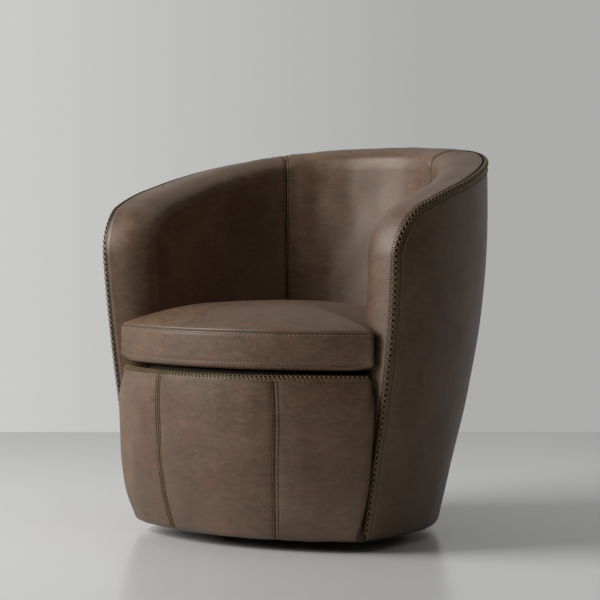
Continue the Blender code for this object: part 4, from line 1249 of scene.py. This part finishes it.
def cushion_outline(height):
    """Evenly spaced places round the cushion, the left half mirrored."""
    right = right_half(height)
    whole = right + [Vector((-point.x, point.y)) for point in reversed(right[1:-1])]
    ways = [0.0]
    for before, after in zip(whole, whole[1:] + whole[:1]):
        ways.append(ways[-1] + (after - before).length)
    even = []
    index = 0
    for k in range(around):
        goal = ways[-1] * k / around
        while ways[index + 1] < goal:
            index += 1
        part = (goal - ways[index]) / (ways[index + 1] - ways[index])
        even.append(whole[index].lerp(whole[(index + 1) % len(whole)], part))
    return even


def rounded(outline, passes=3):
    """The outline with its corners eased, as leather is over foam."""
    for _ in range(passes):
        outline = [
            (outline[k - 1] + outline[k] * 2 + outline[(k + 1) % around]) / 4 for k in range(around)
        ]
    return outline


outline_step = 0.026
outlines = [
    rounded(cushion_outline(height))
    for height in (cushion_low, cushion_low + outline_step, cushion_low + 2 * outline_step, cushion_seam)
]
seam_outline = outlines[-1]
soft_outline = rounded(seam_outline, 220)


def outline_at(height):
    """The outline between the few that were worked out."""
    part = min(max((height - cushion_low) / outline_step, 0.0), 2.9999)
    index = int(part)
    return [a.lerp(b, part - index) for a, b in zip(outlines[index], outlines[index + 1])]


seam_length = sum((seam_outline[k] - seam_outline[k - 1]).length for k in range(around))
print("round the cushion:", round(seam_length, 3))

# %% Rings from the middle of the crown down to the bottom
seam_ways = (0.0, 0.0005, 0.001, 0.0015, 0.002, 0.0024, 0.0028, 0.0032, 0.0037, 0.0043, 0.005, 0.006, 0.0075,
             0.0095, 0.012, 0.015, 0.019, 0.024, 0.030, 0.037)
box_ways = (0.0, 0.0005, 0.001, 0.0015, 0.002, 0.0025, 0.003, 0.0035, 0.0042, 0.005, 0.006, 0.007, 0.0085,
            0.011, 0.015, 0.020, 0.026, 0.032, 0.038, 0.045, 0.051, 0.056, 0.0595, 0.0625, 0.0645, 0.0665)
foot_round = 0.009
foot_way = -0.068
mean_radius = 0.29


def drawn_in(outline, share, height):
    """A ring at a share of the way from the crown's middle to an outline."""
    return [Vector((p.x * share, crown_middle + (p.y - crown_middle) * share, height)) for p in outline]


def crown_ring(share):
    """The seam's outline drawn in and rounded, so that the wings leave no ridge on the crown."""
    blend = ease((1 - share) / 0.45)
    outline = [edge.lerp(soft, blend) for edge, soft in zip(seam_outline, soft_outline)]
    return drawn_in(outline, share, cushion_seam + crown * (1 - share ** 3.2))


def box_ring(height, inset=0.0):
    outline = outline_at(height)
    ring = []
    for k in range(around):
        along = (outline[(k + 1) % around] - outline[k - 1]).normalized()
        ring.append(Vector((outline[k].x - along.y * inset, outline[k].y + along.x * inset, height)))
    return ring


crown_shares = [0.03, 0.07, 0.12] + [0.12 + 0.75 * k / 26 for k in range(1, 27)]
crown_shares = [share for share in crown_shares if share < 1 - seam_ways[-1] / mean_radius]
rings = [crown_ring(share) for share in crown_shares]
ring_ways = [(1 - share) * mean_radius for share in crown_shares]
for way in reversed(seam_ways[1:]):
    rings.append(crown_ring(1 - way / mean_radius))
    ring_ways.append(way)
for way in box_ways:
    rings.append(box_ring(cushion_seam - way))
    ring_ways.append(-way)
for lean in (math.pi / 2 * k / 8 for k in range(1, 9)):
    height = cushion_low + foot_round * (1 - math.sin(lean))
    rings.append(box_ring(height, foot_round * (1 - math.cos(lean))))
    ring_ways.append(foot_way - foot_round * lean)
foot_ring = rings[-1]
for share in (0.97, 0.90, 0.75, 0.5, 0.25):
    rings.append(drawn_in(foot_ring, share, cushion_low))
    ring_ways.append(-0.09 - (1 - share) * mean_radius)
print("rings:", len(rings))


# %% The cushion's skin, not yet swollen
def ring_body(name, ring_list, material, top):
    """A closed body from rings, a point in the middle of its first and last; top is on its upper side."""
    points = [point for ring in ring_list for point in ring]
    count = len(ring_list[0])
    faces = grid_faces(len(ring_list), count, closed=True)
    for level in (0, len(ring_list) - 1):
        points.append(sum(ring_list[level], Vector()) / count)
        for k in range(count):
            pair = (level * count + k, level * count + (k + 1) % count)
            faces.append((len(points) - 1, *(pair if level == 0 else reversed(pair))))
    piece = new_piece(name, points, faces, material)
    turn_outward(piece, top, Vector((0, 0, 1)))
    return piece


cushion = ring_body("cushion_leather", rings, brown_leather, Vector((0, crown_middle, cushion_top_height)))
skin = cushion.data
print("points of the cushion's skin:", len(skin.vertices))


# %% Blow the body up as cloth
cloth_steps = 20
ray_reach = 0.030
swell_limits = (-0.003, 0.012)


def swollen_body():
    """The cushion's plain body, remeshed and filled with pressure while its seams are held."""
    body = in_scene("cushion_body", cushion.data.copy())
    voxels = body.modifiers.new("voxels", "REMESH")
    voxels.mode = "VOXEL"
    voxels.voxel_size = 0.006
    body.data = applied(body)
    lines = kdtree.KDTree(2 * around)
    seams = [Vector((*point, cushion_seam)) for point in seam_outline] + box_ring(cushion_low + 0.007, 0.001)
    for k, point in enumerate(seams):
        lines.insert(point, k)
    lines.balance()
    held = body.vertex_groups.new(name="held")
    for vertex in body.data.vertices:
        near = 1 - ease((lines.find(vertex.co)[2] - 0.004) / 0.010)
        under = 1.0 if vertex.co.z < cushion_low + 0.003 else 0.0
        held.add([vertex.index], max(near, under), "REPLACE")
    cloth = body.modifiers.new("cloth", "CLOTH")
    settings = {
        "quality": 5, "mass": 0.4, "tension_stiffness": 18, "compression_stiffness": 18,
        "bending_stiffness": 0.6, "use_pressure": True, "uniform_pressure_force": 4.0,
        "vertex_group_mass": "held",
    }
    for title, value in settings.items():
        setattr(cloth.settings, title, value)
    cloth.settings.effector_weights.gravity = 0.0
    cloth.collision_settings.use_collision = False
    cloth.point_cache.frame_start, cloth.point_cache.frame_end = 1, cloth_steps
    for step in range(1, cloth_steps + 1):
        bpy.context.scene.frame_set(step)
    mesh = applied(body)
    bpy.context.scene.frame_set(1)
    bpy.data.objects.remove(body)
    return mesh


def swell_amounts():
    """How far the swollen body stands off each point of the plain skin."""
    mesh = swollen_body()
    tree = BVHTree.FromPolygons([v.co for v in mesh.vertices], [tuple(p.vertices) for p in mesh.polygons])
    amounts = []
    for vertex in skin.vertices:
        hit = tree.ray_cast(vertex.co + vertex.normal * ray_reach, -vertex.normal, 2 * ray_reach)
        amounts.append(ray_reach - hit[3] if hit[3] is not None else 0.0)
    bpy.data.meshes.remove(mesh)
    return amounts


swell = np.zeros(len(skin.vertices))
swell = np.clip(np.array(swell_amounts()), *swell_limits)
print("swell from", round(float(swell.min()), 4), "to", round(float(swell.max()), 4))

# %% Even the swell out
evening_passes = 12
shape = bmesh.new()
shape.from_mesh(skin)
shape.verts.ensure_lookup_table()
links = [[edge.other_vert(vertex).index for edge in vertex.link_edges] for vertex in shape.verts]
shape.free()
even = swell.copy()
for _ in range(evening_passes):
    even = np.array([0.5 * even[k] + 0.5 * np.mean(even[near]) for k, near in enumerate(links)])
print("evened swell up to", round(float(even.max()), 4))

# %% Lay the skin on the body and press its seams
skin_ways = [way for way in ring_ways for _ in range(around)] + [mean_radius, -0.2]
lap_way = 0.0036
boxing_way = -0.0034
top_stitch_way = -0.0070
low_stitch_way = -0.0625
lap_ridges = (
    (0.0, 0.0020, 0.0014), (lap_way, 0.0010, -0.0009), (boxing_way, 0.0009, -0.0012),
    (top_stitch_way, 0.0012, -0.0006), (low_stitch_way, 0.0012, -0.0006), (foot_way, 0.0011, -0.0014),
)
# painted shade in the boxing's groove, along the lap and under the cushion's foot
painted_shade_rows = ((boxing_way, 0.0010, 0.7), (lap_way, 0.0008, 0.35), (foot_way, 0.0015, 0.7))


def cushion_relief(co, way, swelling):
    """How far the cushion's leather stands proud; way is the distance from the top seam, crown positive."""
    room = 0.0016 if way <= 0 else 0.0016 + 0.006 * ease(way / 0.05)
    out = min(swelling, room) if way > -0.065 else 0.0
    soft = noise.noise(Vector((co.x * 9, co.y * 9, co.z * 9))) * 0.0014 * ease((way - 0.02) / 0.06)
    return out + ridges(way, lap_ridges) + soft - 0.0008


lift(cushion, [
    cushion_relief(vertex.co, way, swelling) for vertex, way, swelling in zip(skin.vertices, skin_ways, even)
])
for vertex, way in zip(skin.vertices, skin_ways):
    corner = (Vector((abs(vertex.co.x), vertex.co.y)) - Vector((wing_half, wing_front))).length
    vertex.co.z += ridge(corner, 0.0, 0.026, 0.011) * ease((-way - 0.045) / 0.03)
skin.update()
# the cushion's painted shade in its grooves and under its foot
paint_seam_shade(cushion, [max(ridge(way, *row) for row in painted_shade_rows) for way in skin_ways])
skin.shade_smooth()
ride_as(cushion, "cushion", "brown_leather", "cushion_top", "cushion_boxing", "cushion_zip_panel",
        "cushion_bottom", "cushion_core")


# %% Stitches round the cushion
def ring_row(way):
    """The finished skin's points along one ring, with the way up across it."""
    level = int(np.argmin(np.abs(np.array(ring_ways) - way)))
    here, above = (
        [skin.vertices[ring * around + k].co.copy() for k in range(around)] for ring in (level, level - 1)
    )
    return [(a, (b - a).normalized()) for a, b in zip(here, above)]


for name, way in (("cushion_stitch_top", top_stitch_way), ("cushion_stitch_low", low_stitch_way)):
    sew(name, ring_row(way), long_dash, 0.0088, khaki_thread, body="cushion", closed=True)

# %% [markdown]
# ## The seat's deck
# Under the loose cushion the springs carry a pad covered with dark woven cloth. It is seen when the cushion
# is lifted. Its outline is the frame's, read from the node it replaces, and its edge rolls down all round.

# %% Woven and felted cloth
def woven_finish(name, dark, light, threads):
    """A plain weave: one wave for each way of the threads, with flecks of worn colour."""
    material, tree, shader = make_finish(name, 0.9)
    shader.inputs["Specular IOR Level"].default_value = 0.2
    place = object_place(tree)
    waves = [
        add_node(tree, "ShaderNodeTexWave", bands_direction=way, Vector=place, Scale=threads, Distortion=0.6,
                 Detail=1.0).outputs[1]
        for way in ("X", "Y")
    ]
    weave = times(tree, *waves)
    both = weighed(tree, weave, 0.4, noise_of(tree, place, 60.0, 6.0, 0.7), 0.6)
    feed(tree, shader, Base_Color=ramp(tree, both, (0.25, dark), (0.6, light)),
         Normal=bumped(tree, weave, 0.5, 0.0003))
    return material


deck_weave = woven_finish("deck_weave", from_srgb(34, 29, 25), from_srgb(70, 61, 52), 260.0)
cambric = woven_finish("cambric", from_srgb(16, 16, 17), from_srgb(44, 44, 46), 420.0)
print("cloth finishes made")


# %% A node's outline, seen from above
def middle_of(node):
    low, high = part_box(node)
    return Vector(((low[0] + high[0]) / 2, (low[1] + high[1]) / 2))


def plan_of(node, count, least=0.0):
    """Places round a node's widest outline, evenly turned about the middle of its box."""
    middle = middle_of(node)
    found = {}
    for vertex in bpy.data.objects[node].data.vertices:
        arm = vertex.co.xy - middle
        if arm.length > least:
            turn = round(math.atan2(arm.y, arm.x), 4)
            found[turn] = max(found.get(turn, 0.0), arm.length)
    turns = sorted(found)
    places = np.linspace(-math.pi, math.pi, count, endpoint=False)
    lengths = np.interp(places, turns, [found[turn] for turn in turns], period=2 * math.pi)
    arms = [Vector((math.cos(turn), math.sin(turn))) * length for turn, length in zip(places, lengths)]
    return middle, arms


plan_steps = 180
deck_middle, deck_arms = plan_of("deck_cloth", plan_steps)
cover_middle, cover_arms = plan_of("dust_cover", plan_steps, 0.15)
print("deck reaches", round(max(arm.x for arm in deck_arms), 4), "aside")

# %% The deck's pad
deck_low, deck_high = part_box("deck_pad")[0][2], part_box("deck_cloth")[1][2]
deck_roll = 0.012
deck_seam_y = deck_middle.y + min(arm.y for arm in deck_arms) + 0.10
deck_ridges = ((deck_seam_y, 0.0022, -0.0030), (deck_seam_y, 0.010, -0.0015))


def deck_ring(inset, height):
    return [
        Vector((*(deck_middle + arm * (1 - (inset + 0.0006) / arm.length)), height)) for arm in deck_arms
    ]


def deck_sunk(co):
    """The pad's seam, its dip and the cloth's soft unevenness."""
    sunk = -0.0012 + 0.0008 * noise.noise(Vector((co.x * 12, co.y * 12, 2.0)))
    return sunk + ridges(co.y, deck_ridges)


deck_rings = [
    [Vector((*(deck_middle + arm * share), deck_high)) for arm in deck_arms]
    for share in [0.04] + [0.04 + 0.86 * k / 40 for k in range(1, 41)]
]
for lean in (math.pi / 2 * k / 8 for k in range(9)):
    height = deck_high - deck_roll * (1 - math.cos(lean))
    deck_rings.append(deck_ring(deck_roll * (1 - math.sin(lean)), height))
for height in (0.345, 0.335, 0.325, 0.315, deck_low + 0.004):
    deck_rings.append(deck_ring(0.0, height))
for inset in (0.004, 0.05):
    deck_rings.append(deck_ring(inset, deck_low + 0.0006))
deck = ring_body("deck_padding", deck_rings, deck_weave, Vector((*deck_middle, deck_high)))
lift(deck, [deck_sunk(v.co) if v.co.z > deck_high - 0.001 else 0.0 for v in deck.data.vertices])
ride_as(deck, "chair", "black_cambric", "deck_pad", "deck_cloth")

# %% The deck's stitches
deck_reach = max(arm.x for arm in deck_arms) - 0.03
deck_places = [-deck_reach + 2 * deck_reach * k / 60 for k in range(61)]
for name, forward in (("deck_stitch_front", -0.006), ("deck_stitch_back", 0.006)):
    points = [Vector((x, deck_seam_y + forward, deck_high - 0.0021)) for x in deck_places]
    sew(name, laid(points, [Vector((0, 1, 0))] * len(points), 0.0), slant_dash, stitch_pitch, seam_thread)

# %% [markdown]
# ## Under the chair
# A thin black cloth is stapled under the bottom board, with a square opening for the swivel's plate. The
# cloth is one stretched sheet with shallow sags between its staples, and the base stands on felt pads.

# %% The dust cover
cover_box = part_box("dust_cover")
opening_half = 0.0915
cover_thickness = 0.0005
staples_round = 36


def cover_ring(share):
    """A ring of the sheet, from its opening at 0 to its outline at 1."""
    ring = []
    for arm in cover_arms:
        way = arm.normalized()
        inner = opening_half / max(abs(way.x), abs(way.y)) * way
        flat = cover_middle + inner.lerp(arm - way * 0.0006, share)
        uneven = 1 + noise.noise(Vector((flat.x * 14, flat.y * 14, 0)))
        scallops = (1 - math.cos(math.atan2(way.y, way.x) * staples_round)) / 2
        sag = 0.0016 * ease(min(share, 1 - share) / 0.25) * uneven
        sag += ridge(1 - share, 0.0, 0.12, 0.0009) * scallops
        ring.append(Vector((*flat, cover_box[1][2] - cover_thickness - 0.0001 - sag)))
    return ring


cover_rings = [cover_ring(k / 28) for k in range(29)]
points = [point for ring in cover_rings for point in ring]
faces = [tuple(reversed(face)) for face in grid_faces(len(cover_rings), plan_steps, closed=True)]
cover = new_piece("dust_cloth", points, faces, cambric)
turn_outward(cover, cover_rings[14][0], Vector((0, 0, 1)))
wall = cover.modifiers.new("cloth", "SOLIDIFY")
wall.thickness = cover_thickness
wall.offset = 1.0
ride_as(cover, "chair", "black_cambric", "dust_cover")


# %% Grained finishes
def grained_finish(name, dark, light, stretch, roughness, metallic=0.0, depth=0.0003):
    """Colour, gloss and bump that run with one grain; stretch is how fine it is along x, y and z."""
    material, tree, shader = make_finish(name, roughness, metallic)
    place = object_place(tree)
    streaks = noise_of(tree, stretched(tree, place, stretch), 1.0, 7.0, 0.65, 0.5)
    both = weighed(tree, streaks, 0.65, noise_of(tree, place, 9.0, 4.0, 0.6), 0.35)
    feed(tree, shader, Base_Color=ramp(tree, both, (0.35, from_srgb(*dark)), (0.65, from_srgb(*light))),
         Roughness=mapped(tree, both, 0.3, 0.7, roughness - 0.08, roughness + 0.10),
         Normal=bumped(tree, streaks, 0.3, depth))
    return material


felt = grained_finish("grey_felt", (58, 58, 60), (104, 103, 102), (900, 900, 300), 0.95, 0.0, 0.0006)
print("felt finish made")

# %% Metal, wood and nylon
frame_finishes = {
    grained_finish("birch_plywood", (168, 130, 88), (222, 192, 150), (14, 14, 160), 0.55): (
        "barrel_shell", "apron_board", "bottom_board",
    ),
    grained_finish("beech", (150, 108, 72), (204, 164, 122), (160, 14, 160), 0.55): (
        "arm_post_left", "arm_post_right", "seat_brace_left", "seat_brace_right",
        *(f"seat_rail_{side}" for side in ("front", "back", "left", "right")),
    ),
    grained_finish("blackened_wood", (18, 17, 16), (42, 39, 36), (12, 140, 60), 0.5): ("base_disc",),
    grained_finish("zinc_plate", (150, 152, 154), (206, 206, 202), (60, 600, 60), 0.36, 0.95, 0.0001): (
        "swivel_lower_plate", "swivel_upper_plate", "swivel_pin",
        *(f"{side}_bolt_{k}" for side in ("lower", "upper") for k in (1, 2, 3, 4)),
    ),
    grained_finish("spring_wire", (62, 62, 66), (108, 106, 104), (200, 200, 40), 0.42, 0.9, 0.0001): tuple(
        f"seat_spring_{k}" for k in (1, 2, 3, 4, 5)
    ),
    grained_finish("cage_nylon", (196, 190, 174), (224, 219, 206), (90, 90, 90), 0.5): ("ball_cage",),
}
for finish, nodes in frame_finishes.items():
    for node in nodes:
        for slot in bpy.data.objects[node].material_slots:
            slot.material = finish
print("frame nodes finished:", sum(len(nodes) for nodes in frame_finishes.values()))

# %% The felt pads
pad_profile = (
    (0.15, 0.0), (0.5, 0.0), (0.85, 0.0), (0.95, 0.0004), (0.99, 0.0012), (1.0, 0.0024), (0.995, 0.0038),
    (0.98, 0.0050), (0.94, 0.0058), (0.85, 0.0060), (0.5, 0.0060), (0.15, 0.0060),
)
pad_steps = 40


def pad_ring(k, middle, radius, low, share, height):
    """A ring of pad k, its edge a little fuzzy."""
    ring = []
    for turn in (math.tau * step / pad_steps for step in range(pad_steps)):
        fuzz = 1 - 0.02 * abs(noise.noise(Vector((turn * 6, height * 900, k)))) * ease((share - 0.85) / 0.1)
        place = middle + radius * share * fuzz * Vector((math.cos(turn), math.sin(turn)))
        ring.append(Vector((*place, low + height)))
    return ring


for k in (1, 2, 3, 4):
    low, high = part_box(f"floor_glide_{k}")
    middle = middle_of(f"floor_glide_{k}")
    ring_list = [pad_ring(k, middle, (high[0] - low[0]) / 2, low[2], *place) for place in pad_profile]
    pad = ring_body(f"felt_pad_{k}", ring_list, felt, Vector((*middle, high[2])))
    ride_as(pad, "base", "grey_felt", f"floor_glide_{k}")

# %% [markdown]
# ## Camera
# The photograph was taken from the chair's right front, a little below the height of its arms, with a long
# lens. Rim, seams and floor line were fitted to find the place; the lens looks a touch down.

# %% Camera
photo_turn = math.radians(33.5)
yaw = math.radians(0.235)
pitch = math.radians(-1.92)
ahead = Vector((-math.sin(photo_turn), math.cos(photo_turn), 0))
aside = Vector((math.cos(photo_turn), math.sin(photo_turn), 0))
aim = ahead * math.cos(yaw) + aside * math.sin(yaw)
look = Vector((aim.x * math.cos(pitch), aim.y * math.cos(pitch), math.sin(pitch)))
camera_data = bpy.data.cameras.new("photo_camera")
camera_data.sensor_width = 36.0
camera_data.lens = 113.385
camera = in_scene("photo_camera", camera_data)
camera.rotation_mode = "QUATERNION"
camera.location = (2.198, -3.3835, 0.620)
camera.rotation_quaternion = look.to_track_quat("-Z", "Y")
bpy.context.scene.camera = camera
print("camera looks along", [round(v, 3) for v in look])

# %% [markdown]
# ## Floor and light
# The floor is a pale sheet, paler to the right as a painted pool of light, that ends a little behind the
# chair, where the wall begins, and not far in front of it. One wide soft lamp stands high on the left and a
# faint one hangs overhead. The wall is the world's colour, darker to the right as painted fall-off of light,
# seen directly and in reflections, while a dimmer even light comes from it, so that the shaded side of the
# leather stays deep.

# %% Floor
floor_front, floor_back, floor_aside = -2.6, 1.95, 3.2
floor_finish, floor_tree, floor_shader = make_finish("pale_floor", 0.22)
place = object_place(floor_tree)
speckle = noise_of(floor_tree, place, 1.3, 3.0)
# painted light: the floor's colour is paler to the right, lifting the side the key lamp leaves dim
painted_floor_light = mapped(floor_tree, length_along(floor_tree, place, aside), -0.9, 0.7)
tone = weighed(floor_tree, painted_floor_light, 0.8, speckle, 0.2)
greys = ramp(floor_tree, tone, (0.1, from_srgb(214, 214, 213)), (0.9, from_srgb(250, 250, 249)))
feed(floor_tree, floor_shader, Base_Color=greys)
corners = ((floor_front, -floor_aside), (floor_front, floor_aside), (floor_back, floor_aside),
           (floor_back, -floor_aside))
floor_mesh = bpy.data.meshes.new("floor")
floor_mesh.from_pydata([tuple(ahead * far + aside * wide) for far, wide in corners], [], [(0, 1, 2, 3)])
floor_mesh.materials.append(floor_finish)
floor = in_scene("floor", floor_mesh)


# %% Lamps
def soft_lamp(name, place, target, size, power):
    data = bpy.data.lights.new(name, "AREA")
    data.shape = "RECTANGLE"
    data.size, data.size_y = size
    data.energy = power
    lamp = in_scene(name, data)
    lamp.location = place
    lamp.rotation_mode = "QUATERNION"
    lamp.rotation_quaternion = (Vector(target) - Vector(place)).to_track_quat("-Z", "Y")


soft_lamp("key", (-2.20, -2.05, 2.05), (0, 0, 0.4), (2.2, 2.6), 128)
soft_lamp("overhead", (0.5, 0.5, 3.0), (0.2, 0.2, 0.0), (2.6, 2.6), 10)
print("lamps:", len(bpy.data.lights))

# %% The wall round it
room_light = (0.075, 0.075, 0.075)
room_mirrored = (0.035, 0.035, 0.035)
world = bpy.data.worlds.new("studio")
bpy.context.scene.world = world
world.use_nodes = True
world_tree = world.node_tree
ray = add_node(world_tree, "ShaderNodeLightPath").outputs
way = add_node(world_tree, "ShaderNodeTexCoord").outputs["Generated"]
# painted light fall-off: the wall, seen directly and in reflections, is paler on the left and darker to the
# right
rightward = mapped(world_tree, length_along(world_tree, way, aside), -0.17, 0.17)
wall = ramp(world_tree, rightward, (0.0, from_srgb(205, 205, 204)), (0.7, from_srgb(172, 172, 171)))
on_wall = mapped(world_tree, length_along(world_tree, way, ahead), 0.1, 0.7)
mirrored_room = mix_colours(world_tree, on_wall, room_mirrored, wall)
shade = mix_colours(world_tree, ray["Is Glossy Ray"], room_light, mirrored_room)
seen = sum_of(world_tree, ray["Is Camera Ray"], ray["Is Transmission Ray"], "MAXIMUM")
shade = mix_colours(world_tree, seen, shade, wall)
feed(world_tree, world_tree.nodes["Background"], Color=shade)
bpy.context.scene.view_settings.view_transform = "Standard"
print("world nodes:", len(world_tree.nodes))
